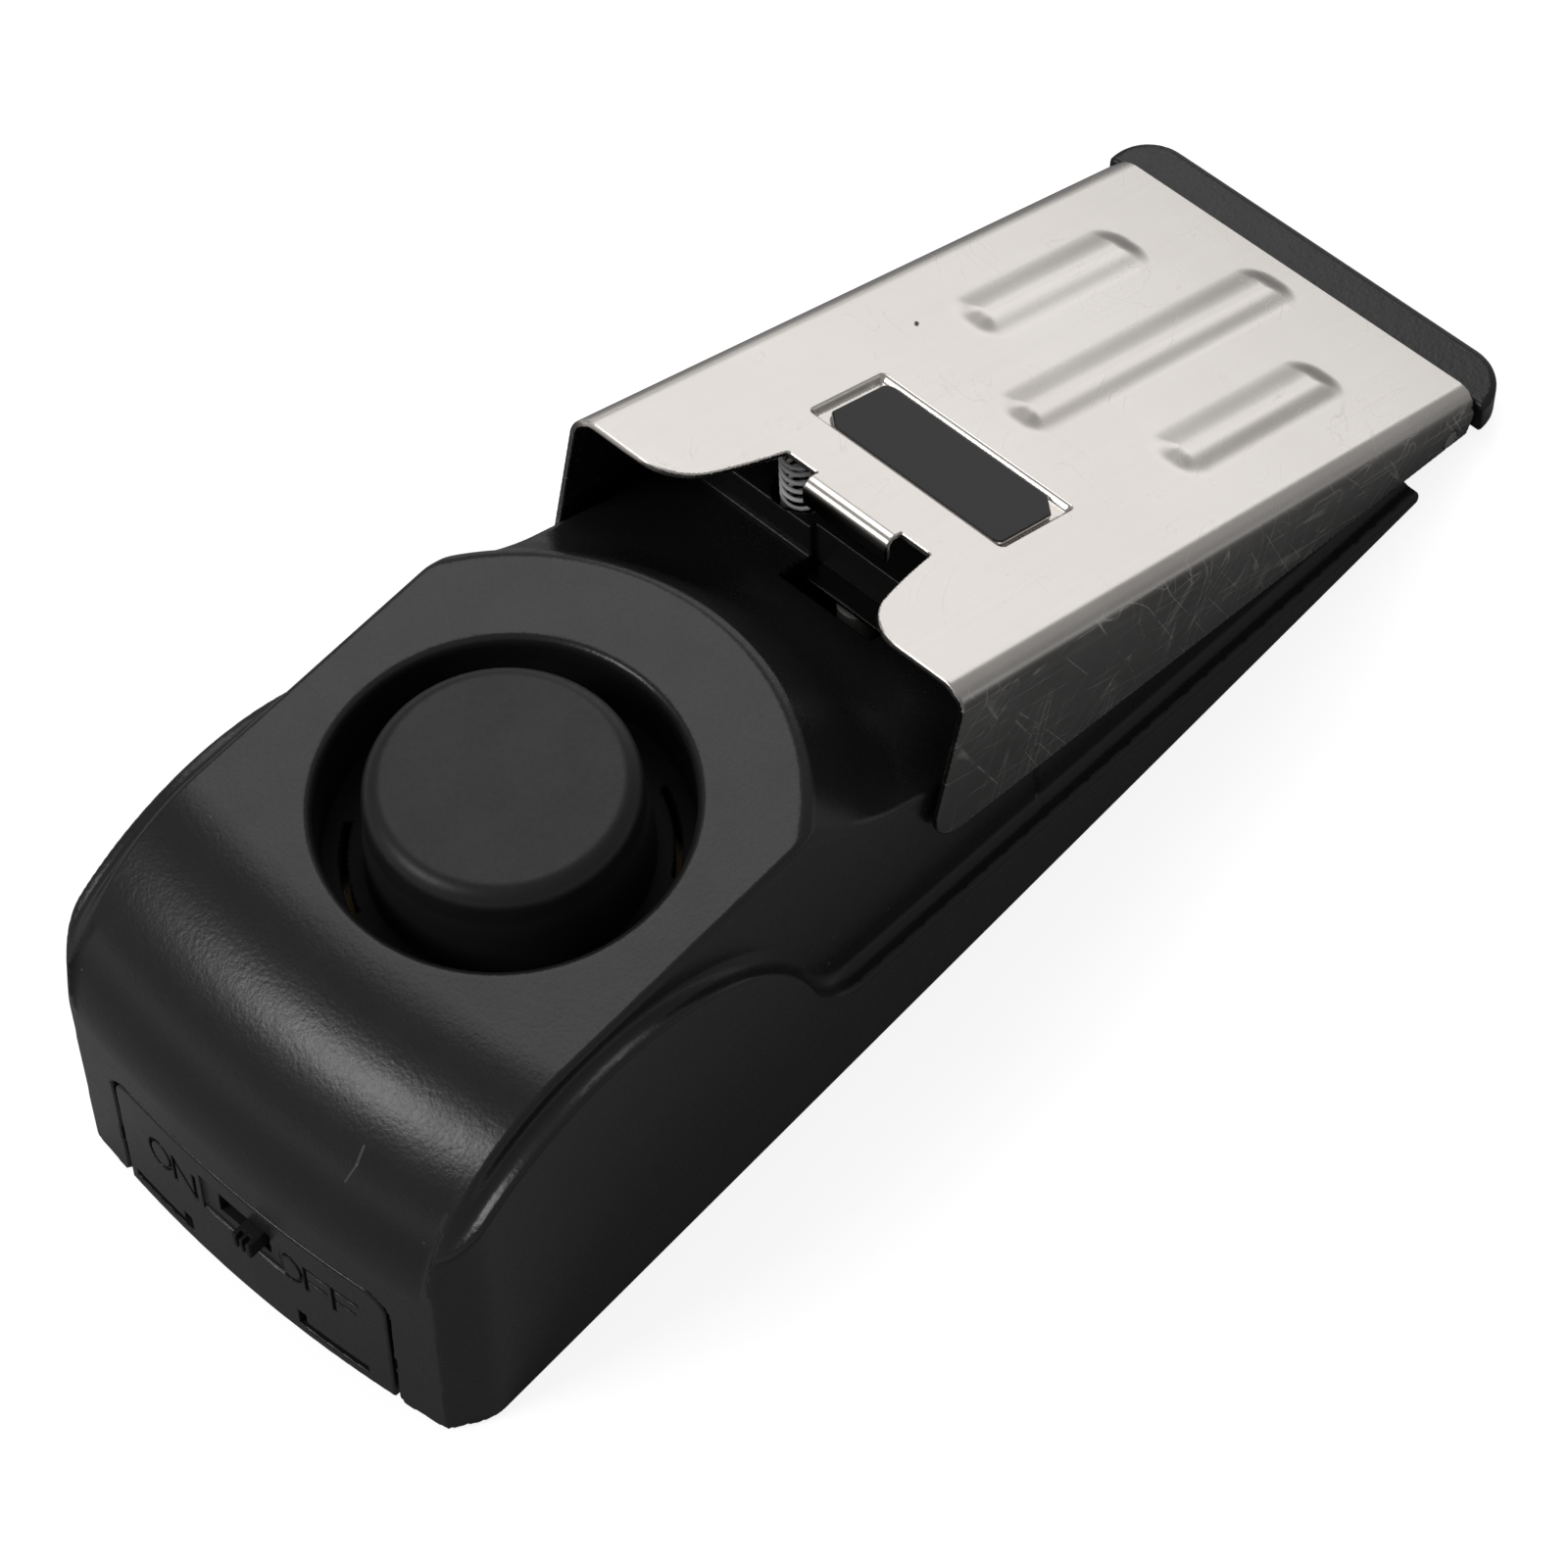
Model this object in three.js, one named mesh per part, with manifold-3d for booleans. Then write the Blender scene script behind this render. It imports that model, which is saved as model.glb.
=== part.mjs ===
// Door stop alarm: a wedge with a siren dome at the thick end and a sprung steel plate on the slope.
// Millimetres, +Z up. Inside the functions X runs from the rear face to the toe and Z from the housing's
// lower edge; the last step centres the part and lifts it onto its pads.
import * as THREE from 'three';
import { mergeVertices, toCreasedNormals } from 'three/addons/utils/BufferGeometryUtils.js';
import Module from 'manifold-3d';

const wasm = await Module();
wasm.setup();

// Whole object
const bodyLength = 139;
const bodyWidth = 45;
const plateauHeight = 36.2;
const standOff = 0.4;
const wall = 2.2;
const fit = 0.3;
const seat = 0.05;

// Outer walls of the housing
const sideDraftShare = 0.01;
const rearLeanShare = 0.04;
const rearBowRadius = 120;
const cornerRadius = 4.3;
const humpX = 21.1;
const humpRadius = 24.3;
const humpCentreHeight = 10.2;
const ledgeRearHeight = 11;
const ledgeFrontHeight = 1.2;
const ledgeBlend = 8;
const sideWallSetback = 14.4;

// Siren dome
const domeInset = 2.25;
const domeFillet = 16;
const sirenX = 33.2;
const rimRadius = 23.8;
const flareShare = 0.68;
const recessRadius = 15.06;
const recessDepth = 7.4;
const recessRimRadius = 0.8;
const soundSlotWidth = 1.6;
const soundSlotCount = 6;
const soundSlotShare = 0.62;

// Cap that stands in the siren recess
const capTopRadius = 10.7;
const capFootRadius = 11.6;
const capRise = 3.3;
const capEdgeRadius = 2;
const studRadius = 2.7;
const studLength = 3.6;

// Neck, valley and sloping top under the plate
const neckX = 70.3;
const neckHeight = 21.7;
const valleyLength = 3.9;
const blockHeight = 24.3;
const slopeFrontHeight = 4;
const slotFrontGap = 4.7;
const slotSideGap = 0.45;
const catchThickness = 2;

// Toe
const toeHeight = 3.6;
const toeInset = 0.6;
const toeDepth = 5;
const toeCornerRadius = 4.5;
const toeEdge = 0.5;

// Pressure plate, measured along its slope and square to it
const plateRearX = 63.8;
const plateRearHeight = 37.1;
const plateFrontInset = 4.6;
const plateFrontHeight = 4.6;
const plateInset = 1.1;
const sheet = 0.6;
const bendRadius = 1.8;
const flangeDepth = 17.8;
const flangeRearLean = 3.1;
const flangeRearRadius = 4;
const flangeFrontDepth = 5.2;
const flangeFrontRadius = 2.6;
const earInnerHalf = 7.5;
const earRadius = 4;
const notchDepth = 12.2;
const tabHalf = 4.6;
const tabBendAt = 11.6;
const tabBendRadius = 1;
const tabEndHeight = 18.2;
const hookLength = 3;
const recessAt = 18.4;
const recessLength = 10.2;
const recessHalf = 10.6;
const recessSink = 0.7;
const ribHalf = 1.8;
const ribHeight = 0.8;
const ribSpacing = 11.2;
const ribShortAt = 42;
const ribShortFront = 11.7;
const ribLongAt = 34.2;
const ribLongFront = 3.5;

// Label in the plate's recess
const labelMargin = 0.5;
const labelThickness = 0.5;
const labelClip = 1.6;

// Hinge pin
const hingeFromFront = 3.1;
const hingeDrop = 3.7;
const pinRadius = 0.9;
const pinPlay = 0.08;

// Springs under the plate
const springX = 77;
const springSide = 8.6;
const springRadius = 1.8;
const springWire = 0.24;
const springFoot = 19.4;
const springTurns = 7;
const springStepsPerTurn = 8;
const springSides = 5;
const wellRadius = 2.6;
const wellWall = 1;

// Rear panel
const panelSide = 7.3;
const panelTop = 16.4;
const panelBottom = 1.2;
const panelGap = 0.35;
const panelCorner = 2.2;
const panelThickness = 2;
const panelLipReach = 1.2;
const panelLipThickness = 1;
const windowWidth = 8;
const windowHeight = 1.7;
const windowEdge = 2;
const windowZ = 3.6;
const trackHalf = 4.3;
const trackHeight = 4.6;
const trackDepth = 0.4;
const slotHeight = 2.8;
const switchZ = 11.8;

// ON/OFF slide switch
const knobWidth = 2.2;
const knobReach = 2;
const knobTravel = 3;
const knobRidges = 3;
const ridgeDepth = 0.35;
const ridgeWidth = 0.35;
const slideBodyWidth = 9;
const slideBodyHeight = 5;
const slideBodyDepth = 4.6;

// Base cover, battery door and pads
const coverThickness = 2;
const coverRear = 3;
const doorRearPlay = 2.1;
const doorFrontLap = 1;
const doorPlay = 1.3;
const doorGripWidth = 10;
const doorGripDepth = 0.8;
const doorGripGap = 1.2;
const doorGripCount = 4;
const doorLedge = 0.9;
const doorLedgeThickness = 1;
const ribThickness = 1;
const ribRise = 8;
const padDepth = 1;
const padMargin = 3;
const frontPadRearGap = 18;
const frontPadFrontGap = 5.6;
const frontPadSide = 5.25;
const padCorner = 2.5;

// Battery and its connector
const batteryLength = 46;
const batteryWidth = 26.2;
const batteryHeight = 17.4;
const batteryEdge = 1.6;
const batteryRearShare = 0.27;
const terminalRadius = 2.8;
const terminalLength = 2.4;
const terminalSpacing = 12.7;
const connectorThickness = 3.2;
const connectorHeight = 12;
const connectorWidth = 24;

// Piezo sounder below the recess
const discRadius = 13.5;
const discThickness = 0.3;
const discDrop = 3.1;
const ceramicRadius = 9.5;
const ceramicThickness = 0.25;
const retainerWall = 2;
const retainerLip = 0.9;
const retainerLipThickness = 0.4;

// Circuit board and what stands on it
const boardRearGap = 3;
const boardFrontGap = 17.6;
const boardSide = 3.05;
const boardThickness = 1.6;
const boardLift = 1.4;
const postRadius = 2.4;
const boardScrewFront = 3.5;
const boardScrewSide = 2;
const tripWidth = 8;
const tripHeight = 6.8;
const plungerRadius = 1.8;
const plungerLength = 6.8;
const tripTravelRoom = 0.4;
const chipLength = 9.8;
const chipWidth = 6;
const chipHeight = 1.6;
const coilRadius = 3.4;
const coilHeight = 4.4;
const partGap = 0.8;

// Leads
const leadRadius = 0.6;
const leadSide = 8;
const sirenLeadSide = 9.6;

// Screws
const screwHeadRadius = 2.5;
const screwHeadHeight = 1.3;
const screwShankRadius = 1.2;
const screwLength = 6;
const shortScrewLength = 3;
const screwCross = 0.6;
const screwCrossShare = 0.6;
const coverScrewRearGap = 4.5;
const coverScrewFrontGap = 6;
const coverScrewSide = 3.15;
const bossRadius = 2.85;

// Fineness of curves
const fine = 40;
const medium = 20;
const coarse = 8;

// Derived
const half = bodyWidth / 2;
const domeHalf = half - domeInset;
const innerHalf = domeHalf;
const plateHalf = half - plateInset;
const toeHalf = half - toeInset;
const rearFlatHalf = half - cornerRadius - plateauHeight * sideDraftShare;
const sideWallEnd = bodyLength - sideWallSetback;
const recessFloor = plateauHeight - recessDepth;
const slotHalf = (knobWidth + knobTravel) / 2 + fit;
const slotFront = neckX + slotFrontGap;
const slotHalfWidth = tabHalf + slotSideGap;
const valleyEnd = neckX + valleyLength;
const plateFrontX = bodyLength - plateFrontInset;
const plateRun = plateFrontX - plateRearX;
const plateFall = plateRearHeight - plateFrontHeight;
const plateLength = Math.hypot(plateRun, plateFall);
const slope = Math.atan2(plateFall, plateRun);
const domeRadiusAt = (z) => rimRadius + (plateauHeight - z) * flareShare;
const rearAt = (z) => z * rearLeanShare;
const bowAt = (y) => y * y / (2 * rearBowRadius);
const onPlate = (s, n) => [
  plateRearX + s * Math.cos(slope) + n * Math.sin(slope),
  plateRearHeight - s * Math.sin(slope) + n * Math.cos(slope),
];
const hinge = onPlate(plateLength - hingeFromFront, -hingeDrop);
const neckZ = (x) => neckHeight + (neckX - x) * Math.tan(slope);
const blockFall = (blockHeight - slopeFrontHeight) / (sideWallEnd - valleyEnd);
const blockZ = (x) => blockHeight - blockFall * (x - valleyEnd);
const plateUnder = (x) => plateRearHeight - (x - plateRearX) * Math.tan(slope) - sheet / Math.cos(slope);
const springTop = plateUnder(springX + springRadius) - fit;
const coverHalf = innerHalf - wall - fit;
const panelHalf = half - panelSide;
const windowSide = panelHalf - windowEdge - windowWidth / 2;
const switchFront = switchZ * rearLeanShare + panelThickness + fit * 2 + slideBodyDepth;
const tabRear = onPlate(tabBendAt, 0)[0] - tabBendRadius * (1 + Math.sin(slope));
const tripCentre = tabRear + sheet + plungerRadius / 2;
const packLength = batteryLength + terminalLength + fit + connectorThickness;
const packRoom = tripCentre - tripWidth / 2 - switchFront - packLength;
const batteryRear = switchFront + packRoom * batteryRearShare;
const connectorFront = batteryRear + packLength;
const doorRear = batteryRear - doorRearPlay;
const doorFront = connectorFront - doorFrontLap;
const doorHalf = batteryWidth / 2 + doorPlay;
const coverScrewRearX = doorFront + coverScrewRearGap;
const coverScrewFrontX = sideWallEnd - coverScrewFrontGap;
const coverScrewY = coverHalf - coverScrewSide;
const frontPadRear = coverScrewRearX + frontPadRearGap;
const frontPadFront = sideWallEnd - frontPadFrontGap;
const frontPadHalf = coverHalf - frontPadSide;
const boardRear = coverScrewRearX + boardRearGap;
const boardFront = sideWallEnd - boardFrontGap;
const boardHalf = innerHalf - wall - boardSide;
const boardScrewX = boardFront - boardScrewFront;
const boardScrewY = boardHalf - boardScrewSide;
const boardFoot = coverThickness + boardLift;
const boardTop = boardFoot + boardThickness;
const leadEnd = boardRear + leadRadius * 3;
const chipX = leadEnd + leadRadius + partGap;
const chipY = -tripWidth / 2 - fit - chipWidth / 2;
const coilX = chipX + coilRadius;
const coilY = leadSide;
const knobTip = switchZ * rearLeanShare - knobReach;
const middleX = (Math.min(knobTip, 0) + bodyLength) / 2;

// Geometry helpers
function solid(geometry) {
  const g = geometry.clone();
  g.deleteAttribute('normal');
  g.deleteAttribute('uv');
  const m = mergeVertices(g);
  const index = m.index.array;
  return new wasm.Manifold(new wasm.Mesh({
    numProp: 3,
    vertProperties: new Float32Array(m.attributes.position.array),
    triVerts: new Uint32Array(index),
  }));
}

function geometryOf(manifold) {
  const mesh = manifold.getMesh();
  const g = new THREE.BufferGeometry();
  const flat = new Float32Array((mesh.vertProperties.length / mesh.numProp) * 3);
  for (let i = 0; i < flat.length / 3; i += 1) {
    for (let k = 0; k < 3; k += 1) {
      flat[i * 3 + k] = mesh.vertProperties[i * mesh.numProp + k];
    }
  }
  g.setAttribute('position', new THREE.BufferAttribute(flat, 3));
  g.setIndex(new THREE.BufferAttribute(new Uint32Array(mesh.triVerts), 1));
  return g;
}

function sum(...parts) {
  return parts.reduce((a, b) => a.add(b));
}

// A polygon with its corners rounded: each corner is [u, v, radius].
function rounded(corners, steps = coarse) {
  const out = [];
  corners.forEach((c, i) => {
    const a = corners[(i + corners.length - 1) % corners.length];
    const b = corners[(i + 1) % corners.length];
    const here = new THREE.Vector2(c[0], c[1]);
    const toA = new THREE.Vector2(a[0], a[1]).sub(here);
    const toB = new THREE.Vector2(b[0], b[1]).sub(here);
    const radius = c[2] || 0;
    if (radius === 0) {
      out.push([c[0], c[1]]);
      return;
    }
    const angle = Math.acos(toA.clone().normalize().dot(toB.clone().normalize()));
    const reach = Math.min(radius / Math.tan(angle / 2), toA.length() / 2, toB.length() / 2);
    const r = reach * Math.tan(angle / 2);
    const middle = toA.clone().normalize().add(toB.clone().normalize()).normalize();
    const centre = here.clone().add(middle.multiplyScalar(r / Math.sin(angle / 2)));
    const from = here.clone().add(toA.normalize().multiplyScalar(reach)).sub(centre);
    const to = here.clone().add(toB.normalize().multiplyScalar(reach)).sub(centre);
    const start = Math.atan2(from.y, from.x);
    let turn = Math.atan2(to.y, to.x) - start;
    turn -= Math.round(turn / (2 * Math.PI)) * 2 * Math.PI;
    for (let k = 0; k <= steps; k += 1) {
      const t = start + turn * k / steps;
      out.push([centre.x + r * Math.cos(t), centre.y + r * Math.sin(t)]);
    }
  });
  return out;
}

function rectangle(u0, u1, v0, v1, radius = 0) {
  return [[u0, v0, radius], [u1, v0, radius], [u1, v1, radius], [u0, v1, radius]];
}

function prism(points, depth) {
  const shape = new THREE.Shape(points.map((p) => new THREE.Vector2(p[0], p[1])));
  return new THREE.ExtrudeGeometry(shape, { depth, bevelEnabled: false });
}

// Outlines in the XY, XZ or YZ plane, pushed out along the third axis.
function alongZ(points, z0, z1) {
  return solid(prism(points, z1 - z0).translate(0, 0, z0));
}

function alongY(points, y0, y1) {
  return solid(prism(points, y1 - y0).rotateX(Math.PI / 2).translate(0, y1, 0));
}

function alongX(points, x0, x1) {
  const turn = new THREE.Matrix4().makeBasis(
    new THREE.Vector3(0, 1, 0),
    new THREE.Vector3(0, 0, 1),
    new THREE.Vector3(1, 0, 0),
  );
  return solid(prism(points, x1 - x0).applyMatrix4(turn).translate(x0, 0, 0));
}

function box(x0, x1, y0, y1, z0, z1) {
  return solid(new THREE.BoxGeometry(x1 - x0, y1 - y0, z1 - z0)
    .translate((x0 + x1) / 2, (y0 + y1) / 2, (z0 + z1) / 2));
}

function post(x, y, z0, z1, radius, steps = medium) {
  return solid(new THREE.CylinderGeometry(radius, radius, z1 - z0, steps)
    .rotateX(Math.PI / 2).translate(x, y, (z0 + z1) / 2));
}

// A turned body: the profile [radius, z] starts and ends on the axis, or closes on itself.
function turned(profile, x, y, steps = fine) {
  const g = new THREE.LatheGeometry(profile.map((p) => new THREE.Vector2(p[0], p[1])), steps);
  return solid(g.rotateX(Math.PI / 2).translate(x, y, 0));
}

// A stack of equal outlines joined into one closed body.
function loft(rings) {
  const n = rings[0].length;
  const position = [];
  const index = [];
  rings.forEach((ring) => ring.forEach((p) => position.push(...p)));
  for (let r = 0; r + 1 < rings.length; r += 1) {
    for (let i = 0; i < n; i += 1) {
      const j = (i + 1) % n;
      const a = r * n + i;
      const b = r * n + j;
      index.push(a, b, b + n, a, b + n, a + n);
    }
  }
  const drop = flatAxis(rings[0]);
  const cap = rings[0].map((p) => new THREE.Vector2(...p.filter((v, k) => k !== drop)));
  const faces = THREE.ShapeUtils.triangulateShape(cap, []);
  const area = THREE.ShapeUtils.area(cap);
  const last = (rings.length - 1) * n;
  faces.forEach(([a, b, c]) => {
    index.push(a, c, b, last + a, last + b, last + c);
  });
  const g = new THREE.BufferGeometry();
  g.setAttribute('position', new THREE.Float32BufferAttribute(position, 3));
  g.setIndex(index);
  if (area !== 0 && signedVolume(g) < 0) {
    for (let i = 0; i < index.length; i += 3) {
      [index[i], index[i + 1]] = [index[i + 1], index[i]];
    }
    g.setIndex(index);
  }
  return solid(g);
}

function flatAxis(ring) {
  const spread = [0, 1, 2].map((k) => {
    const values = ring.map((p) => p[k]);
    return Math.max(...values) - Math.min(...values);
  });
  return spread.indexOf(Math.min(...spread));
}

function signedVolume(g) {
  const p = g.attributes.position;
  const i = g.index.array;
  const v = [0, 1, 2].map(() => new THREE.Vector3());
  let total = 0;
  for (let k = 0; k < i.length; k += 3) {
    v.forEach((w, m) => w.fromBufferAttribute(p, i[k + m]));
    total += v[0].dot(v[1].clone().cross(v[2]));
  }
  return total;
}

// Housing
// The plan of the outer walls at a height, drawn in by an offset.
function wallPlan(z, inset) {
  const y = half - z * sideDraftShare - inset;
  const x = rearAt(z) + inset;
  const r = Math.max(cornerRadius - inset, fit);
  const front = sideWallEnd - inset;
  const pts = [];
  pts.push([front, -y, z], [front, y, z]);
  for (let k = 0; k <= coarse; k += 1) {
    const t = Math.PI / 2 * k / coarse;
    const yy = y - r + r * Math.cos(t);
    pts.push([x + bowAt(yy) + r - r * Math.sin(t), yy, z]);
  }
  for (let k = 1; k < coarse; k += 1) {
    const yy = rearFlatHalf * (1 - 2 * k / coarse);
    pts.push([x + bowAt(yy), yy, z]);
  }
  for (let k = 0; k <= coarse; k += 1) {
    const t = Math.PI / 2 * (1 - k / coarse);
    const yy = y - r + r * Math.cos(t);
    pts.push([x + bowAt(yy) + r - r * Math.sin(t), -yy, z]);
  }
  return pts;
}

function wallSolid(inset, z0, z1) {
  return loft([wallPlan(z0, inset), wallPlan(z1, inset)]);
}

// The side wall seen from the side: a round hump behind, then a low ledge running to the toe.
function cheekProfile() {
  const pts = [[-fit, -fit]];
  const fall = ledgeRearHeight + ledgeBlend / 2 - humpCentreHeight;
  const ledgeStart = humpX + Math.sqrt(humpRadius ** 2 - fall ** 2);
  const start = Math.acos(Math.max((-fit - humpX) / humpRadius, -1));
  const stop = Math.asin(fall / humpRadius);
  pts.push([-fit, humpCentreHeight + humpRadius * Math.sin(start)]);
  for (let k = 1; k <= fine; k += 1) {
    const t = start - (start - stop) * k / fine;
    pts.push([humpX + humpRadius * Math.cos(t), humpCentreHeight + humpRadius * Math.sin(t)]);
  }
  for (let k = 1; k <= coarse; k += 1) {
    const t = k / coarse * Math.PI / 2;
    const z = ledgeRearHeight + ledgeBlend / 2 * (1 - Math.sin(t));
    pts.push([ledgeStart + ledgeBlend * (1 - Math.cos(t)), z]);
  }
  pts.push([sideWallEnd + fit, ledgeFrontHeight], [sideWallEnd + fit, -fit]);
  return pts.reverse();
}

// The dome seen from the side, bowed in plan like the rear face.
function domeBody(inset) {
  const top = plateauHeight - inset;
  const rear = rearAt(plateauHeight - domeFillet) + inset;
  const r = domeFillet - inset;
  const y = domeHalf - inset;
  const end = sirenX + domeRadiusAt(0) + wall;
  const rings = [];
  for (let k = 0; k <= coarse; k += 1) {
    const yy = y * (2 * k / coarse - 1);
    const ring = [[end, yy, 0], [end, yy, top]];
    for (let m = 0; m <= medium; m += 1) {
      const t = Math.PI / 2 * m / medium;
      ring.push([rear + bowAt(yy) + r - r * Math.sin(t), yy, top - r + r * Math.cos(t)]);
    }
    ring.push([rear + bowAt(yy) - wall, yy, top - r], [rear + bowAt(yy) - wall, yy, 0]);
    rings.push(ring);
  }
  const flare = turned([
    [0, 0],
    [domeRadiusAt(0) - inset, 0],
    [rimRadius - inset, plateauHeight],
    [0, plateauHeight],
  ], sirenX, 0);
  const behind = box(-wall, sirenX, -half, half, 0, plateauHeight);
  return loft(rings).intersect(flare.add(behind));
}

function innerProfile(inset) {
  const endX = sideWallEnd - inset;
  const high = plateauHeight - wall - inset;
  const start = neckX - (plateauHeight - wall - neckHeight) / Math.tan(slope);
  return [
    [sirenX, 0],
    [endX, 0],
    [endX, blockZ(endX) - inset],
    [valleyEnd, blockZ(valleyEnd) - inset],
    [valleyEnd, neckZ(valleyEnd) - inset],
    [start, high],
    [sirenX, high],
  ];
}

// Lower front part between the flanges, and the full-width lip of the toe.
function toeBody() {
  const start = bodyLength - toeDepth;
  const neck = alongY([
    [sideWallEnd - wall, 0],
    [bodyLength - toeDepth / 2, 0],
    [bodyLength - toeDepth / 2, toeHeight],
    [start - fit, toeHeight],
    [sideWallEnd - wall, slopeFrontHeight],
  ], -innerHalf, innerHalf);
  const plan = (inset) => rounded([
    [start + inset, -toeHalf + inset, 0],
    [bodyLength - inset, -toeHalf + inset, toeCornerRadius],
    [bodyLength - inset, toeHalf - inset, toeCornerRadius],
    [start + inset, toeHalf - inset, 0],
  ]);
  const at = (inset, z) => plan(inset).map((p) => [p[0], p[1], z]);
  return neck.add(loft([at(0, 0), at(0, toeHeight - toeEdge), at(toeEdge, toeHeight)]));
}

function housingCavity() {
  const dome = domeBody(wall).intersect(box(-wall, bodyLength, -half, half, -fit, plateauHeight - wall));
  const low = wallSolid(wall, -fit, plateauHeight).intersect(alongY(cheekProfile(), -half, half));
  const inside = alongY(innerProfile(wall), -innerHalf + wall, innerHalf - wall);
  const cup = post(sirenX, 0, recessFloor - wall, plateauHeight, recessRadius + wall, fine);
  const floorCut = box(coverRear - fit, sideWallEnd - wall, -innerHalf + wall, innerHalf - wall,
    -fit, coverThickness + seat);
  const trimmed = low.intersect(alongY([
    [-fit, -fit],
    [sideWallEnd - wall, -fit],
    [sideWallEnd - wall, fit],
    [humpX, ledgeRearHeight - wall],
    [-fit, ledgeRearHeight - wall],
  ], -innerHalf + wall, innerHalf - wall));
  return sum(dome, inside, trimmed, floorCut).subtract(cup);
}

function springWells(radius, z0, z1) {
  return post(springX, springSide, z0, z1, radius).add(post(springX, -springSide, z0, z1, radius));
}

function coverBosses(radius, z0) {
  const at = (x, y) => post(x, y, z0, blockHeight, radius, coarse * 2);
  return sum(
    at(coverScrewRearX, coverScrewY),
    at(coverScrewRearX, -coverScrewY),
    at(coverScrewFrontX, coverScrewY),
    at(coverScrewFrontX, -coverScrewY),
  );
}

function soundSlots() {
  const middle = (recessRadius + capFootRadius) / 2;
  const inner = middle - soundSlotWidth / 2;
  const outer = middle + soundSlotWidth / 2;
  const slots = [];
  for (let k = 0; k < soundSlotCount; k += 1) {
    const pts = [];
    const sweep = 2 * Math.PI / soundSlotCount * soundSlotShare;
    const from = 2 * Math.PI / soundSlotCount * k;
    for (let m = 0; m <= coarse; m += 1) {
      const t = from + sweep * m / coarse;
      pts.push([sirenX + outer * Math.cos(t), outer * Math.sin(t)]);
    }
    for (let m = coarse; m >= 0; m -= 1) {
      const t = from + sweep * m / coarse;
      pts.push([sirenX + inner * Math.cos(t), inner * Math.sin(t)]);
    }
    slots.push(alongZ(pts, recessFloor - wall * 2, recessFloor + wall));
  }
  return sum(...slots);
}

function panelOutline(gap) {
  return rounded([
    [-panelHalf - gap, panelBottom - wall * 2, 0],
    [panelHalf + gap, panelBottom - wall * 2, 0],
    [panelHalf + gap, panelTop + gap, panelCorner + gap],
    [-panelHalf - gap, panelTop + gap, panelCorner + gap],
  ]);
}

function topHousing() {
  const outer = sum(
    domeBody(0).intersect(wallSolid(0, 0, plateauHeight)),
    wallSolid(0, 0, plateauHeight).intersect(alongY(cheekProfile(), -half, half)),
    alongY(innerProfile(0), -innerHalf, innerHalf),
    toeBody(),
  );
  const wells = springWells(wellRadius + wellWall, springFoot - wellWall, blockHeight);
  const catchWall = box(slotFront, slotFront + catchThickness, -slotHalfWidth, slotHalfWidth,
    tabEndHeight + sheet + fit, blockHeight);
  const inner = sum(wells, catchWall, coverBosses(bossRadius, coverThickness + seat))
    .intersect(alongY(innerProfile(0), -innerHalf, innerHalf));
  const skin = outer.subtract(housingCavity()).add(inner);
  const rimInset = recessRimRadius * (1 - Math.SQRT1_2);
  const recess = turned([
    [0, recessFloor],
    [recessRadius, recessFloor],
    [recessRadius, plateauHeight - recessRimRadius],
    [recessRadius + rimInset, plateauHeight - rimInset],
    [recessRadius + recessRimRadius, plateauHeight],
    [recessRadius + recessRimRadius, plateauHeight + wall],
    [0, plateauHeight + wall],
  ], sirenX, 0);
  const slot = box(neckX, slotFront, -slotHalfWidth, slotHalfWidth, coverThickness + wall, plateauHeight)
    .intersect(box(neckX, slotFront, -half, half, boardTop + tripHeight + fit, blockHeight + wall));
  const stud = post(sirenX, 0, 0, plateauHeight, studRadius + seat);
  const opening = alongX(panelOutline(panelGap), -wall, wall * 2 + bowAt(panelHalf));
  const lipEnd = wall * 2 + panelLipThickness + bowAt(panelHalf);
  const lipRoom = alongX(panelOutline(panelLipReach + fit), -wall, lipEnd)
    .intersect(wallSolid(wall, -wall, plateauHeight));
  const pin = pinBody(pinRadius + pinPlay, half);
  const screwHoles = coverBosses(screwShankRadius + seat, -fit).intersect(
    box(0, bodyLength, -half, half, -fit, coverThickness + screwLength));
  return sum(
    skin,
  ).subtract(sum(recess, soundSlots(), slot, stud, opening, lipRoom, pin, screwHoles,
    springWells(wellRadius, springFoot, plateauHeight)));
}

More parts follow.
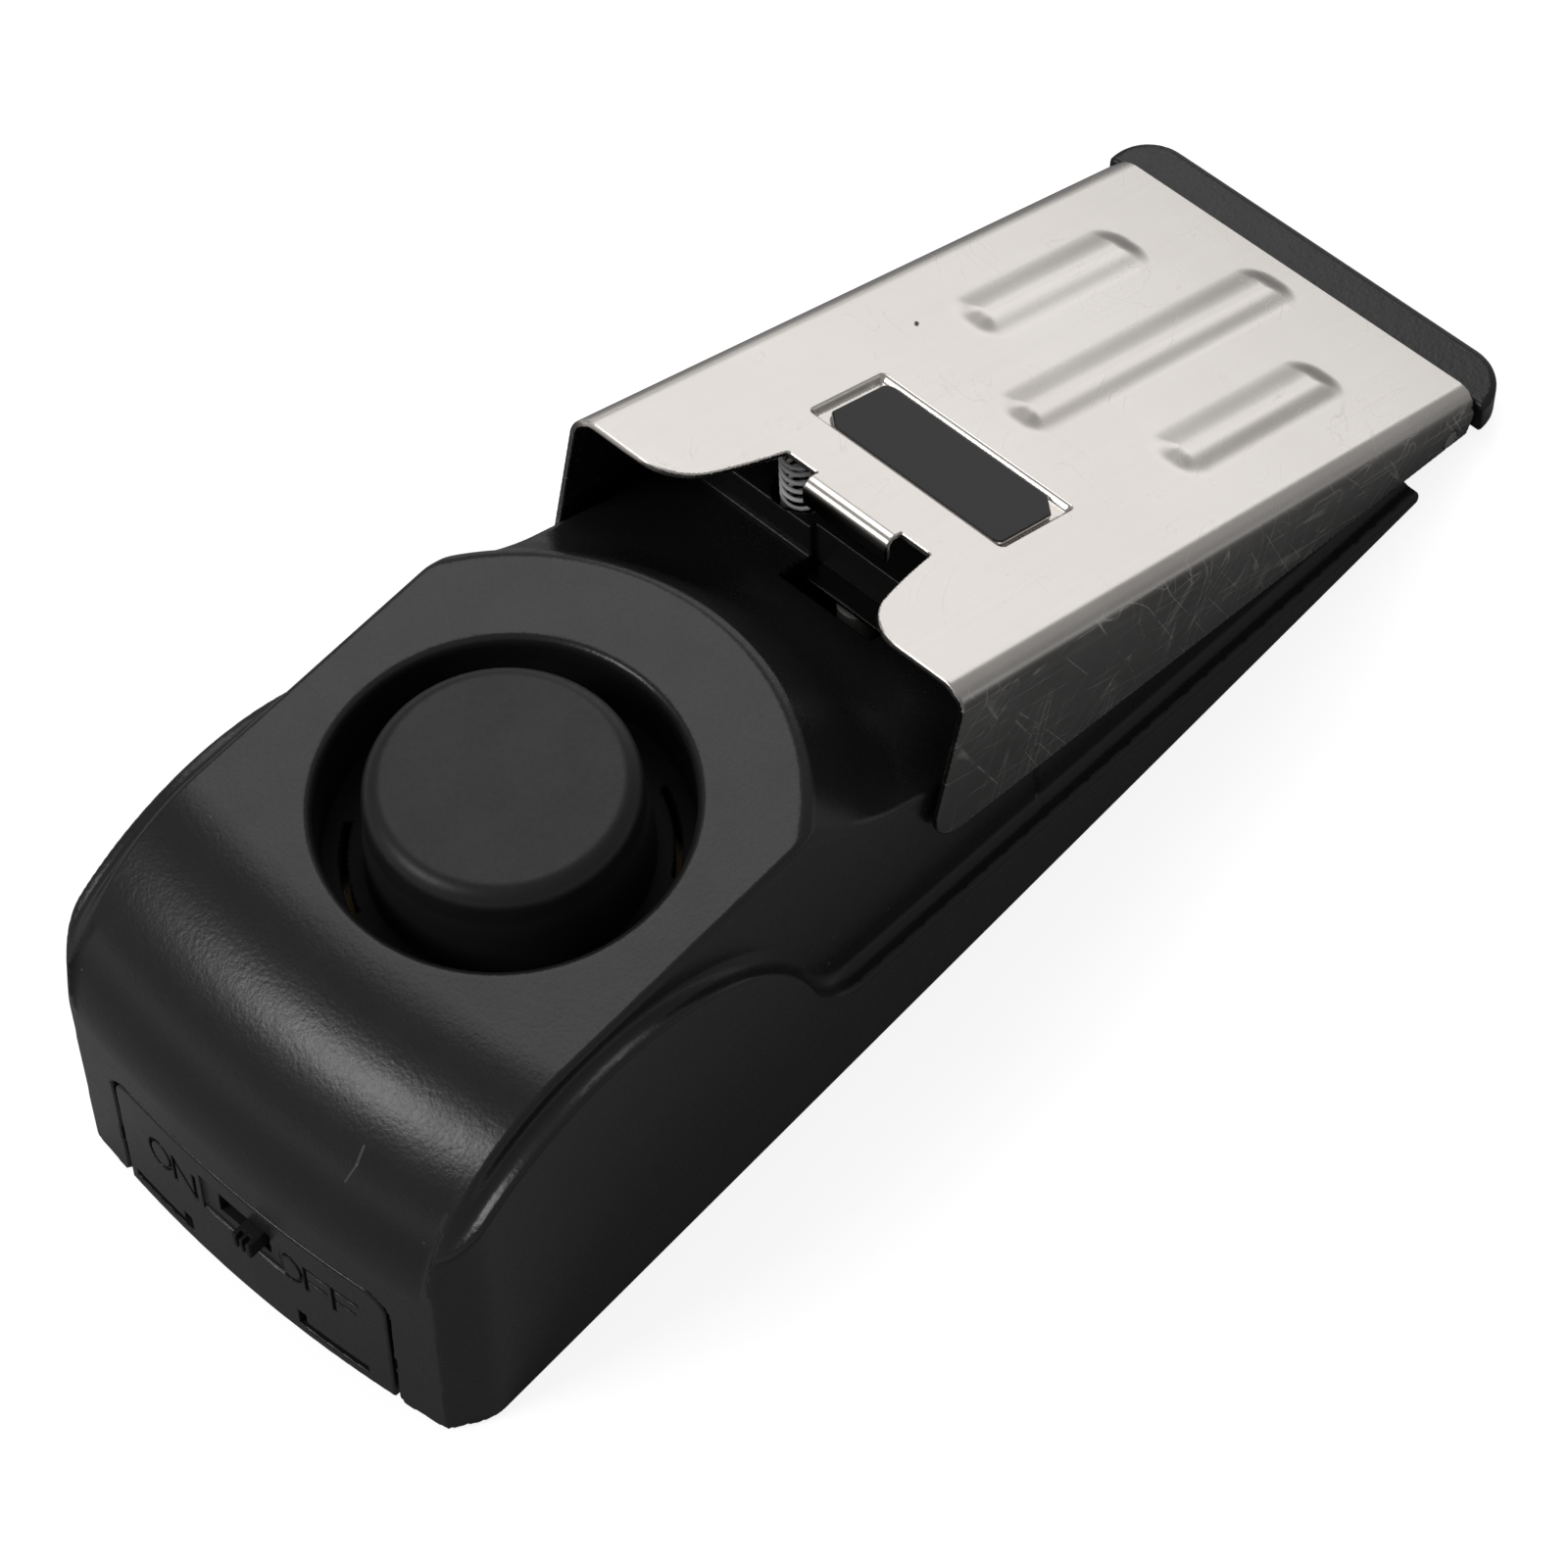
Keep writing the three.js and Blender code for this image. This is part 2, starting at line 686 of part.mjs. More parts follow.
function rearPanel() {
  const body = wallSolid(0, 0, plateauHeight / 2 + panelCorner)
    .intersect(alongX(panelOutline(0), -wall, panelThickness + bowAt(panelHalf)))
    .intersect(box(-wall, bodyLength, -half, half, panelBottom, plateauHeight))
    .subtract(wallSolid(panelThickness, 0, plateauHeight));
  const grow = (inset) => wallSolid(inset, coverThickness + fit, plateauHeight);
  const lipEnd = wall * 2 + panelLipThickness + bowAt(panelHalf);
  const frame = (reach) => alongX(panelOutline(reach), -wall, lipEnd)
    .subtract(alongX(panelOutline(-panelLipReach), -wall * 2, lipEnd + wall));
  const lip = sum(
    frame(panelLipReach).intersect(grow(wall + seat)),
    frame(-fit).intersect(grow(panelThickness / 2)),
  ).subtract(wallSolid(wall + seat + panelLipThickness, 0, plateauHeight));
  const window = (side) => alongX(
    rounded(rectangle(side * windowSide - windowWidth / 2, side * windowSide + windowWidth / 2,
      windowZ - windowHeight / 2, windowZ + windowHeight / 2)),
    -wall, wall * 2 + bowAt(panelHalf),
  );
  const track = alongX(
    rounded(rectangle(
      -trackHalf, trackHalf, switchZ - trackHeight / 2, switchZ + trackHeight / 2, trackDepth), 2),
    -wall, rearAt(switchZ) + trackDepth,
  );
  const slot = alongX(
    rectangle(-slotHalf, slotHalf, switchZ - slotHeight / 2, switchZ + slotHeight / 2),
    -wall, wall * 2,
  );
  return body.add(lip).subtract(sum(window(1), window(-1), track, slot));
}

// Siren
function sirenCap() {
  const top = plateauHeight + capRise;
  const pts = [
    [0, recessFloor - studLength],
    [studRadius, recessFloor - studLength],
    [studRadius, recessFloor + seat],
    [capFootRadius, recessFloor + seat],
    [capTopRadius, top - capEdgeRadius],
  ];
  for (let k = 1; k <= coarse; k += 1) {
    const t = Math.PI / 2 * k / coarse;
    pts.push([capTopRadius - capEdgeRadius * (1 - Math.cos(t)), top - capEdgeRadius * (1 - Math.sin(t))]);
  }
  pts.push([0, top]);
  return turned(pts, sirenX, 0);
}

function piezoDisc() {
  const z = recessFloor - wall - discDrop;
  return post(sirenX, 0, z, z + discThickness, discRadius, fine);
}

function piezoCeramic() {
  const z = recessFloor - wall - discDrop - seat;
  return post(sirenX, 0, z - ceramicThickness, z, ceramicRadius, fine);
}

function piezoRetainer() {
  const inner = discRadius + fit;
  const top = recessFloor - wall - seat;
  const lip = recessFloor - wall - discDrop - seat;
  return turned([
    [inner - retainerLip, lip],
    [inner - retainerLip, lip - retainerLipThickness],
    [inner + retainerWall, lip - retainerLipThickness],
    [inner + retainerWall, top],
    [inner, top],
    [inner, lip],
    [inner - retainerLip, lip],
  ], sirenX, 0);
}

// Pressure plate
// Puts a body that was drawn along the plate (X) and square to it (Z) in its place.
function ontoPlate(manifold) {
  const g = geometryOf(manifold);
  g.rotateY(slope).translate(plateRearX, 0, plateRearHeight);
  return solid(g);
}

function channel() {
  const y = plateHalf;
  const deep = flangeDepth + wall;
  const outer = rounded([[-y, -deep, 0], [y, -deep, 0], [y, 0, bendRadius], [-y, 0, bendRadius]]);
  const inner = rounded([
    [-y + sheet, -deep - wall, 0],
    [y - sheet, -deep - wall, 0],
    [y - sheet, -sheet, bendRadius - sheet],
    [-y + sheet, -sheet, bendRadius - sheet],
  ]);
  return alongX(outer, -fit, plateLength).subtract(alongX(inner, -wall, plateLength + wall));
}

function flangeOutline() {
  return rounded([
    [0, wall, 0],
    [0, 0, 0],
    [flangeRearLean, -flangeDepth, flangeRearRadius],
    [plateLength - flangeFrontRadius, -flangeFrontDepth, flangeFrontRadius],
    [plateLength, -flangeFrontDepth + flangeFrontRadius, flangeFrontRadius / 2],
    [plateLength, wall, 0],
  ]);
}

function rearOpening() {
  const far = wall * 2;
  const outer = rounded([
    [notchDepth, -earInnerHalf, 0],
    [notchDepth, earInnerHalf, 0],
    [earRadius, earInnerHalf, earRadius * 2],
    [0, earInnerHalf + earRadius / 2, earRadius],
    [-far, earInnerHalf + earRadius / 2, 0],
    [-far, -earInnerHalf - earRadius / 2, 0],
    [0, -earInnerHalf - earRadius / 2, earRadius],
    [earRadius, -earInnerHalf, earRadius * 2],
  ]);
  const keep = box(tabBendAt - fit, notchDepth + fit, -tabHalf, tabHalf, -wall, wall);
  return alongZ(outer, -wall, wall).subtract(keep);
}

// A raised bead pressed up from the sheet, and the room below it.
function ribPair(s, y, long) {
  const end = (inset) => rounded(rectangle(
    s + inset, s + long - inset, y - ribHalf + inset, y + ribHalf - inset, ribHalf - inset), 4);
  const ring = (inset, z) => end(inset).map((p) => [p[0], p[1], z]);
  const up = loft([ring(0, -sheet / 2), ring(0, 0), ring(ribHalf / 2, ribHeight)]);
  const down = loft([
    ring(sheet / 2, -sheet - fit),
    ring(sheet / 2, -sheet),
    ring(ribHalf / 2 + sheet / 2, ribHeight - sheet),
  ]);
  return { up, down };
}

function pressurePlate() {
  const recessOuter = box(recessAt, recessAt + recessLength, -recessHalf, recessHalf,
    -sheet - recessSink, -sheet / 2);
  const recessInner = box(recessAt + sheet, recessAt + recessLength - sheet,
    -recessHalf + sheet, recessHalf - sheet, -recessSink, wall);
  const ribs = [
    ribPair(ribShortAt, ribSpacing, plateLength - ribShortAt - ribShortFront),
    ribPair(ribLongAt, 0, plateLength - ribLongAt - ribLongFront),
    ribPair(ribShortAt, -ribSpacing, plateLength - ribShortAt - ribShortFront),
  ];
  const sheetBody = channel()
    .add(sum(...ribs.map((r) => r.up)))
    .subtract(sum(...ribs.map((r) => r.down)))
    .add(recessOuter)
    .subtract(recessInner)
    .subtract(rearOpening())
    .intersect(alongY(flangeOutline(), -half, half));
  return ontoPlate(sheetBody).add(stopTab()).subtract(pinBody(pinRadius + pinPlay, half));
}

// The tab bent down from the plate, with a hook that holds the plate against the housing.
function stopTab() {
  const outer = tabBendRadius;
  const inner = tabBendRadius - sheet;
  const [px, pz] = onPlate(tabBendAt, 0);
  const cx = px - outer * Math.sin(slope);
  const cz = pz - outer * Math.cos(slope);
  const from = Math.PI / 2 - slope;
  const face = cx - outer;
  const arc = (r) => {
    const pts = [];
    for (let k = 0; k <= coarse; k += 1) {
      const t = from + (Math.PI - from) * k / coarse;
      pts.push([cx + r * Math.cos(t), cz + r * Math.sin(t)]);
    }
    return pts;
  };
  const lead = onPlate(tabBendAt + sheet / 2, 0);
  const leadUnder = onPlate(tabBendAt + sheet / 2, -sheet);
  const pts = [
    lead,
    ...arc(outer),
    [face, tabEndHeight],
    [face + hookLength, tabEndHeight],
    [face + hookLength, tabEndHeight + sheet],
    [face + sheet, tabEndHeight + sheet],
    ...arc(inner).reverse(),
    leadUnder,
  ];
  return alongY(pts, -tabHalf, tabHalf);
}

function labelPlate() {
  const margin = sheet + labelMargin;
  const x0 = recessAt + margin;
  const x1 = recessAt + recessLength - margin;
  const y = recessHalf - margin;
  const g = alongZ([
    [x0, -y + labelClip],
    [x0 + labelClip, -y],
    [x1, -y],
    [x1, y - labelClip],
    [x1 - labelClip, y],
    [x0, y],
  ], -recessSink + seat, -recessSink + seat + labelThickness);
  return ontoPlate(g);
}

function pinBody(radius, reach) {
  const g = new THREE.CylinderGeometry(radius, radius, reach * 2, medium);
  return solid(g.translate(hinge[0], 0, hinge[1]));
}

// One unbroken wire wound into a helix.
function plateSpring(y) {
  const rings = [];
  const line = [];
  const high = springTop - springFoot - springWire * 2;
  const steps = springTurns * springStepsPerTurn;
  for (let k = 0; k <= steps; k += 1) {
    const t = k / steps;
    const a = t * springTurns * 2 * Math.PI;
    const centre = new THREE.Vector3(
      springX + (springRadius - springWire) * Math.cos(a),
      y + (springRadius - springWire) * Math.sin(a),
      springFoot + springWire + high * t,
    );
    const out = new THREE.Vector3(Math.cos(a), Math.sin(a), 0);
    line.push(centre);
    const ring = [];
    for (let m = 0; m < springSides; m += 1) {
      const b = m / springSides * 2 * Math.PI;
      const p = centre.clone().addScaledVector(out, springWire * Math.cos(b));
      ring.push([p.x, p.y, p.z + springWire * Math.sin(b)]);
    }
    rings.push(ring);
  }
  console.log('least gap of the spring wire to itself, mm:', leastGap(line).toFixed(2));
  return loft(rings);
}

// The least clear distance between points of the wire that lie half a turn or more apart.
function leastGap(line) {
  let least = Infinity;
  line.forEach((p, i) => line.slice(i + springStepsPerTurn / 2).forEach((q) => {
    least = Math.min(least, p.distanceTo(q) - springWire * 2);
  }));
  return least;
}

// ON/OFF switch
function switchKnob() {
  const y = -slotHalf + fit + knobWidth / 2;
  const z = slotHeight / 2 - fit;
  const stem = box(knobTip, rearAt(switchZ) + panelThickness + wall, y - knobWidth / 2, y + knobWidth / 2,
    switchZ - z, switchZ + z);
  const grooves = [];
  for (let k = 1; k < knobRidges; k += 1) {
    const at = y - knobWidth / 2 + knobWidth * k / knobRidges;
    grooves.push(box(
      knobTip - fit, knobTip + ridgeDepth, at - ridgeWidth / 2, at + ridgeWidth / 2, 0, plateauHeight));
  }
  return stem.subtract(sum(...grooves));
}

function slideSwitch() {
  const x0 = rearAt(switchZ) + panelThickness + fit * 2;
  const body = box(x0, x0 + slideBodyDepth, -slideBodyWidth / 2, slideBodyWidth / 2,
    switchZ - slideBodyHeight / 2, switchZ + slideBodyHeight / 2);
  const groove = box(x0 - fit, rearAt(switchZ) + panelThickness + wall + fit, -slotHalf - fit, slotHalf + fit,
    switchZ - slotHeight / 2, switchZ + slotHeight / 2);
  return body.subtract(groove);
}

// Base cover, door and pads
function coverPlan(z0, z1) {
  const front = sideWallEnd - wall - fit;
  return alongZ(rectangle(coverRear, front, -coverHalf, coverHalf), z0, z1);
}

function baseCover() {
  const rim = fit + ribThickness;
  const ledge = box(doorRear - rim, doorFront + rim, -doorHalf - rim, doorHalf + rim, coverThickness / 2,
    coverThickness + seat + doorLedgeThickness);
  const seatRoom = box(doorRear - fit, doorFront + fit, -doorHalf - fit, doorHalf + fit,
    -fit, coverThickness + seat);
  const bay = box(doorRear + doorLedge, doorFront - doorLedge, -doorHalf + doorLedge, doorHalf - doorLedge,
    -fit, coverThickness + ribRise);
  const rib = (side) => {
    const y0 = side * (doorHalf + fit);
    const y1 = side * (doorHalf + rim);
    return box(doorRear, doorFront, Math.min(y0, y1), Math.max(y0, y1), coverThickness / 2,
      coverThickness + ribRise);
  };
  const posts = post(boardScrewX, boardScrewY, coverThickness / 2, boardFoot - seat, postRadius)
    .add(post(boardScrewX, -boardScrewY, coverThickness / 2, boardFoot - seat, postRadius));
  const postHole = (y) => post(
    boardScrewX, y, coverThickness - seat, plateauHeight, screwShankRadius + seat);
  const postHoles = postHole(boardScrewY).add(postHole(-boardScrewY));
  const pad = alongZ(rounded(rectangle(frontPadRear - seat, frontPadFront + seat,
    -frontPadHalf - seat, frontPadHalf + seat, padCorner)), -fit, padDepth);
  const holes = coverBosses(screwShankRadius + fit, -fit);
  const heads = coverBosses(screwHeadRadius + fit, -fit).intersect(
    box(0, bodyLength, -half, half, -fit, screwHeadHeight));
  return sum(coverPlan(0, coverThickness), ledge, rib(1), rib(-1), posts)
    .subtract(sum(seatRoom, bay, pad, holes, heads, postHoles));
}

function batteryDoor() {
  const plate = box(doorRear, doorFront, -doorHalf, doorHalf, 0, coverThickness);
  const pad = rearPadOutline(seat);
  const grips = [];
  for (let k = 0; k < doorGripCount; k += 1) {
    const x = doorRear + doorGripGap * (1 + k * 2);
    grips.push(box(x, x + doorGripGap, -doorGripWidth / 2, doorGripWidth / 2, -fit, doorGripDepth));
  }
  return plate.subtract(sum(alongZ(pad, -fit, padDepth), ...grips));
}

function rearPadOutline(gap) {
  const from = doorRear + doorGripGap * (doorGripCount * 2 + 1) + padMargin / 2;
  return rounded(rectangle(from - gap, doorFront - padMargin + gap, -doorHalf + padMargin - gap,
    doorHalf - padMargin + gap, padCorner));
}

function rearPad() {
  return alongZ(rearPadOutline(0), -standOff, padDepth - seat);
}

function frontPad() {
  return alongZ(rounded(rectangle(frontPadRear, frontPadFront, -frontPadHalf, frontPadHalf,
    padCorner)), -standOff, padDepth - seat);
}

// Battery and connector
function battery() {
  const z0 = coverThickness + fit;
  const y = batteryWidth / 2;
  const can = alongX(rounded(rectangle(-y, y, z0, z0 + batteryHeight, batteryEdge), 4),
    batteryRear, batteryRear + batteryLength);
  const poleLength = terminalLength + fit;
  const pole = (side) => solid(new THREE.CylinderGeometry(terminalRadius, terminalRadius, poleLength, medium)
    .rotateZ(Math.PI / 2)
    .translate(batteryRear + batteryLength + (terminalLength - fit) / 2, side * terminalSpacing / 2,
      z0 + batteryHeight / 2));
  return sum(can, pole(1), pole(-1));
}

function snapConnector() {
  const x0 = connectorFront - connectorThickness;
  const z = coverThickness + fit + batteryHeight / 2;
  return alongX(rounded(rectangle(-connectorWidth / 2, connectorWidth / 2, z - connectorHeight / 2,
    z + connectorHeight / 2, batteryEdge), 4), x0, x0 + connectorThickness);
}

// Board
function circuitBoard() {
  const plate = box(boardRear, boardFront, -boardHalf, boardHalf, boardFoot, boardTop);
  const hole = (side) => post(boardScrewX, side * boardScrewY, 0, plateauHeight, screwShankRadius + seat);
  return plate.subtract(hole(1).add(hole(-1)));
}

function tripSwitch() {
  const x = tripCentre;
  const body = box(x - tripWidth / 2, x + tripWidth / 2, -tripWidth / 2, tripWidth / 2,
    boardTop + seat, boardTop + tripHeight);
  return body.subtract(post(x, 0, boardTop + tripTravelRoom, plateauHeight, plungerRadius + pinPlay));
}

function tripPlunger() {
  const top = tabEndHeight - fit;
  return post(tripCentre, 0, top - plungerLength, top, plungerRadius);
}

function controlChip() {
  return box(chipX, chipX + chipLength, chipY - chipWidth / 2, chipY + chipWidth / 2,
    boardTop + seat, boardTop + seat + chipHeight);
}

function boostCoil() {
  return post(coilX, coilY, boardTop + seat, boardTop + coilHeight, coilRadius);
}

// A soft lead: a round section pushed along a smooth path.
function lead(points) {
  const path = new THREE.CatmullRomCurve3(points.map((p) => new THREE.Vector3(...p)));
  const shape = new THREE.Shape();
  shape.absarc(0, 0, leadRadius, 0, 2 * Math.PI);
  return solid(new THREE.ExtrudeGeometry(shape, {
    steps: medium,
    curveSegments: 3,
    bevelEnabled: false,
    extrudePath: path,
  }));
}

function batteryLead(side) {
  const x0 = connectorFront + leadRadius;
  const z = coverThickness + fit + batteryHeight / 2;
  const y = side * leadSide;
  const end = leadEnd;
  return lead([
    [x0, y, z + leadRadius * 4],
    [(x0 * 2 + end) / 3, y, z + leadRadius],
    [(x0 + end) / 2, y, (z + boardTop) / 2],
    [end, y, boardTop + leadRadius * 2],
  ]);
}

function sirenLead(side) {
  const top = recessFloor - wall - discDrop - retainerLipThickness - leadRadius * 2 - fit;
  const batteryTop = coverThickness + fit + batteryHeight;
  const batteryFront = batteryRear + batteryLength;
  const connectorTop = batteryTop - batteryHeight / 2 + connectorHeight / 2;
  const y = side * sirenLeadSide;
  const under = (x, floor) => (neckZ(x) - wall + floor) / 2;
  return lead([
    [sirenX + ceramicRadius, y, top],
    [(sirenX + ceramicRadius + batteryFront) / 2, y, top],
    [batteryFront, y, under(batteryFront, batteryTop)],
    [connectorFront, y, under(connectorFront, connectorTop)],
    [(connectorFront + leadEnd) / 2, y, (connectorTop + boardTop) / 2 + leadRadius * 3],
    [leadEnd, y, boardTop + leadRadius * 2],
  ]);
}

// Screws
function screw(x, y, headUnder, long) {
  const profile = [
    [0, 0],
    [screwHeadRadius, 0],
    [screwHeadRadius, screwHeadHeight - seat],
    [screwShankRadius, screwHeadHeight - seat],
    [screwShankRadius, screwHeadHeight + long - screwShankRadius],
    [0, screwHeadHeight + long],
  ];
  const arm = screwHeadRadius * screwCrossShare;
  const cross = box(-arm, arm, -screwCross / 2, screwCross / 2, -fit, screwHeadHeight / 2)
    .add(box(-screwCross / 2, screwCross / 2, -arm, arm, -fit, screwHeadHeight / 2));
  const g = geometryOf(turned(profile, 0, 0, medium).subtract(cross));
  if (!headUnder) {
    g.rotateX(Math.PI);
  }
  return { g, x, y };
}

function coverScrew(x, y) {
  const s = screw(x, y, true, screwLength - fit);
  return solid(s.g.translate(x, y, 0));
}

function boardScrew(y) {
  const s = screw(boardScrewX, y, false, shortScrewLength - fit);
  return solid(s.g.translate(boardScrewX, y, boardTop + screwHeadHeight));
}

// Assembly
const part = new THREE.Group();
part.name = 'door_stop_alarm';

function add(name, manifold, color, metalness, roughness) {
  const g = geometryOf(manifold);
  g.translate(-middleX, 0, standOff);
  const shaded = toCreasedNormals(g, Math.PI / 6);
  const mesh = new THREE.Mesh(shaded, new THREE.MeshStandardMaterial({ color, metalness, roughness }));
  mesh.name = name;
  part.add(mesh);
}

add('top_housing', topHousing(), 0x1b1b1d, 0, 0.55);
add('rear_panel', rearPanel(), 0x1c1c1e, 0, 0.55);
add('siren_cap', sirenCap(), 0x1e1e20, 0, 0.4);
add('piezo_disc', piezoDisc(), 0xb08d3c, 1, 0.35);
add('piezo_ceramic', piezoCeramic(), 0xe8e2d0, 0, 0.6);
add('piezo_retainer', piezoRetainer(), 0x202022, 0, 0.6);
add('pressure_plate', pressurePlate(), 0xc9c2b8, 1, 0.35);
add('label_plate', labelPlate(), 0x2a2a2c, 0, 0.2);
add('hinge_pin', pinBody(pinRadius, plateHalf), 0x9a9a9a, 1, 0.35);
add('plate_spring_left', plateSpring(springSide), 0xd0d0d0, 1, 0.25);
add('plate_spring_right', plateSpring(-springSide), 0xd0d0d0, 1, 0.25);
add('switch_knob', switchKnob(), 0x161617, 0, 0.5);
add('slide_switch', slideSwitch(), 0xa8a8a8, 1, 0.4);
add('base_cover', baseCover(), 0x1b1b1d, 0, 0.6);
add('battery_door', batteryDoor(), 0x1b1b1d, 0, 0.6);
add('grip_pad_rear', rearPad(), 0x101010, 0, 0.9);
add('grip_pad_front', frontPad(), 0x101010, 0, 0.9);
add('battery', battery(), 0x3a4a6a, 0.2, 0.4);
add('snap_connector', snapConnector(), 0x151515, 0, 0.6);
add('circuit_board', circuitBoard(), 0x1f5a35, 0, 0.5);
add('trip_switch', tripSwitch(), 0x181818, 0, 0.5);
add('trip_plunger', tripPlunger(), 0xc8c8c0, 0, 0.4);
add('control_chip', controlChip(), 0x141414, 0, 0.5);
add('boost_coil', boostCoil(), 0x202020, 0, 0.5);
add('battery_lead_red', batteryLead(1), 0xb02020, 0, 0.5);
add('battery_lead_black', batteryLead(-1), 0x151515, 0, 0.5);
add('siren_lead_red', sirenLead(1), 0xb02020, 0, 0.5);
add('siren_lead_black', sirenLead(-1), 0x151515, 0, 0.5);
add('cover_screw_rear_left', coverScrew(coverScrewRearX, coverScrewY), 0x8a8a8a, 1, 0.4);
add('cover_screw_rear_right', coverScrew(coverScrewRearX, -coverScrewY), 0x8a8a8a, 1, 0.4);
add('cover_screw_front_left', coverScrew(coverScrewFrontX, coverScrewY), 0x8a8a8a, 1, 0.4);
add('cover_screw_front_right', coverScrew(coverScrewFrontX, -coverScrewY), 0x8a8a8a, 1, 0.4);
add('board_screw_left', boardScrew(boardScrewY), 0x8a8a8a, 1, 0.4);
add('board_screw_right', boardScrew(-boardScrewY), 0x8a8a8a, 1, 0.4);

export default part;
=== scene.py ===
# %% [markdown]
# # A door stop alarm, dressed
# The real thing is a black moulded wedge with a siren at its thick end and a sprung steel plate on its
# slope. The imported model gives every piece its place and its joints, and this lesson gives each its
# fine surface and its finish. Lengths are in millimetres, and become metres at the last moment.

# %% The frame
import math
import bpy
import numpy as np
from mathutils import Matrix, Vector


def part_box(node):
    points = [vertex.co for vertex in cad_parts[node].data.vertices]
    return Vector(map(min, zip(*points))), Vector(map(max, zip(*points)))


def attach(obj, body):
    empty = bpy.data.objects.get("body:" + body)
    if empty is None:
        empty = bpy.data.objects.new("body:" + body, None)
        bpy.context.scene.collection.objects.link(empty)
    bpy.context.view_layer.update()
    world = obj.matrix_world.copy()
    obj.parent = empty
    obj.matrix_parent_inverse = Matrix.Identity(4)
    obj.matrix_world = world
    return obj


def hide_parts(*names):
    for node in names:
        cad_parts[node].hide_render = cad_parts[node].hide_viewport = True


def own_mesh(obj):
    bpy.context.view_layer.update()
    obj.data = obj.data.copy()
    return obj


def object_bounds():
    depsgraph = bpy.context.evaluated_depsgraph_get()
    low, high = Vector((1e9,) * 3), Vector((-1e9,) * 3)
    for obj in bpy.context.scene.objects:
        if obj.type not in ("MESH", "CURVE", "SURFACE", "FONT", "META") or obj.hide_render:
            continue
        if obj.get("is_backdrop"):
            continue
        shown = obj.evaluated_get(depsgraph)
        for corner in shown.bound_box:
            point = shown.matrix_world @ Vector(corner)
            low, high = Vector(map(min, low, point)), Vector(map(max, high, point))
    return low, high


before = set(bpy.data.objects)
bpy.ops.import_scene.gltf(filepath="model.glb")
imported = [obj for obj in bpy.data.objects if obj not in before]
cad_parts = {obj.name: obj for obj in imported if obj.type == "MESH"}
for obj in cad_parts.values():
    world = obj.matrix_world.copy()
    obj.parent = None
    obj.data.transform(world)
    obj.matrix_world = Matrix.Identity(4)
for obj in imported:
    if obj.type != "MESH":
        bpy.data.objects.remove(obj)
CAD_LOW, CAD_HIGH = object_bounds()
MM = 0.001
BODY_LENGTH = 139.0
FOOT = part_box("top_housing")[0].z / MM
MIDDLE = BODY_LENGTH - CAD_HIGH.x / MM


def link(data, name):
    made = bpy.data.objects.new(name, data)
    bpy.context.collection.objects.link(made)
    return made


print("the frame runs from", [round(v / MM, 1) for v in CAD_LOW], "to", [round(v / MM, 1) for v in CAD_HIGH])

# %% [markdown]
# ## Camera
# The photograph was taken from behind, from the right and from well above. Place, turn and focal
# length come from fitting a camera to its outlines. The long lens keeps the far toe nearly as wide
# as the near end, so the perspective is part of the likeness.

# %% Camera
CAMERA_PLACE = (-168.28, -159.21, 368.16)
CAMERA_TURN = (31.874, 1.222, -48.038)
CAMERA_LENS = 114.91
CAMERA_SHIFT = (-0.0060, 0.0013)
CAMERA_CLIP = (0.01, 10.0)
SENSOR_WIDTH = 36.0

camera = link(bpy.data.cameras.new("camera"), "camera")
camera.data.sensor_width = SENSOR_WIDTH
camera.data.lens = CAMERA_LENS
camera.data.shift_x, camera.data.shift_y = CAMERA_SHIFT
camera.data.clip_start, camera.data.clip_end = CAMERA_CLIP
camera.location = Vector(CAMERA_PLACE) * MM
camera.rotation_euler = [math.radians(a) for a in CAMERA_TURN]
bpy.context.scene.camera = camera
print("camera at", [round(v, 3) for v in camera.location])

# %% [markdown]
# ## Expressions for shaders
# A material is a small sum of noises, masks and colours. A socket is wrapped in a class whose
# operators add Math nodes, so the sum reads as a formula instead of a list of links.


# %% Signals
def arithmetic(operation, swapped=False):
    """An operator for signals: one Math node."""
    def act(self, other):
        pair = (other, self) if swapped else (self, other)
        return self.owner.node("ShaderNodeMath", *pair, operation=operation)
    return act


class Signal:
    """One output socket of a node, with arithmetic."""

    def __init__(self, owner, socket):
        self.owner = owner
        self.socket = socket

    __add__, __radd__ = arithmetic("ADD"), arithmetic("ADD", True)
    __sub__, __rsub__ = arithmetic("SUBTRACT"), arithmetic("SUBTRACT", True)
    __truediv__, __rtruediv__ = arithmetic("DIVIDE"), arithmetic("DIVIDE", True)
    __mul__ = arithmetic("MULTIPLY")

    def clear(self):
        """Held between 0 and 1."""
        return self.owner.node("ShaderNodeClamp", self)

    def step(self, low, high):
        """0 below low, 1 above high, smooth between."""
        return self.owner.node("ShaderNodeMapRange", Value=self, From_Min=low, From_Max=high,
                               interpolation_type="SMOOTHSTEP")


class Nodes:
    """A node tree, written as formulas."""

    def feed(self, socket, value):
        if isinstance(value, Signal):
            self.tree.links.new(value.socket, socket)
        else:
            socket.default_value = value

    def node(self, kind, *values, out=0, **named):
        """Adds a node and gives its output. A name in lower case is a setting, any other a socket."""
        made = self.tree.nodes.new(kind)
        for key in [key for key in named if key.islower()]:
            setattr(made, key, named.pop(key))
        for socket, value in zip(made.inputs, values):
            self.feed(socket, value)
        for key, value in named.items():
            self.feed(made.inputs[key.replace("_", " ")], value)
        return Signal(self, made.outputs[out])


MIX_COLOURS, MIX_RESULT = slice(6, 8), 2   # sockets of a Mix node


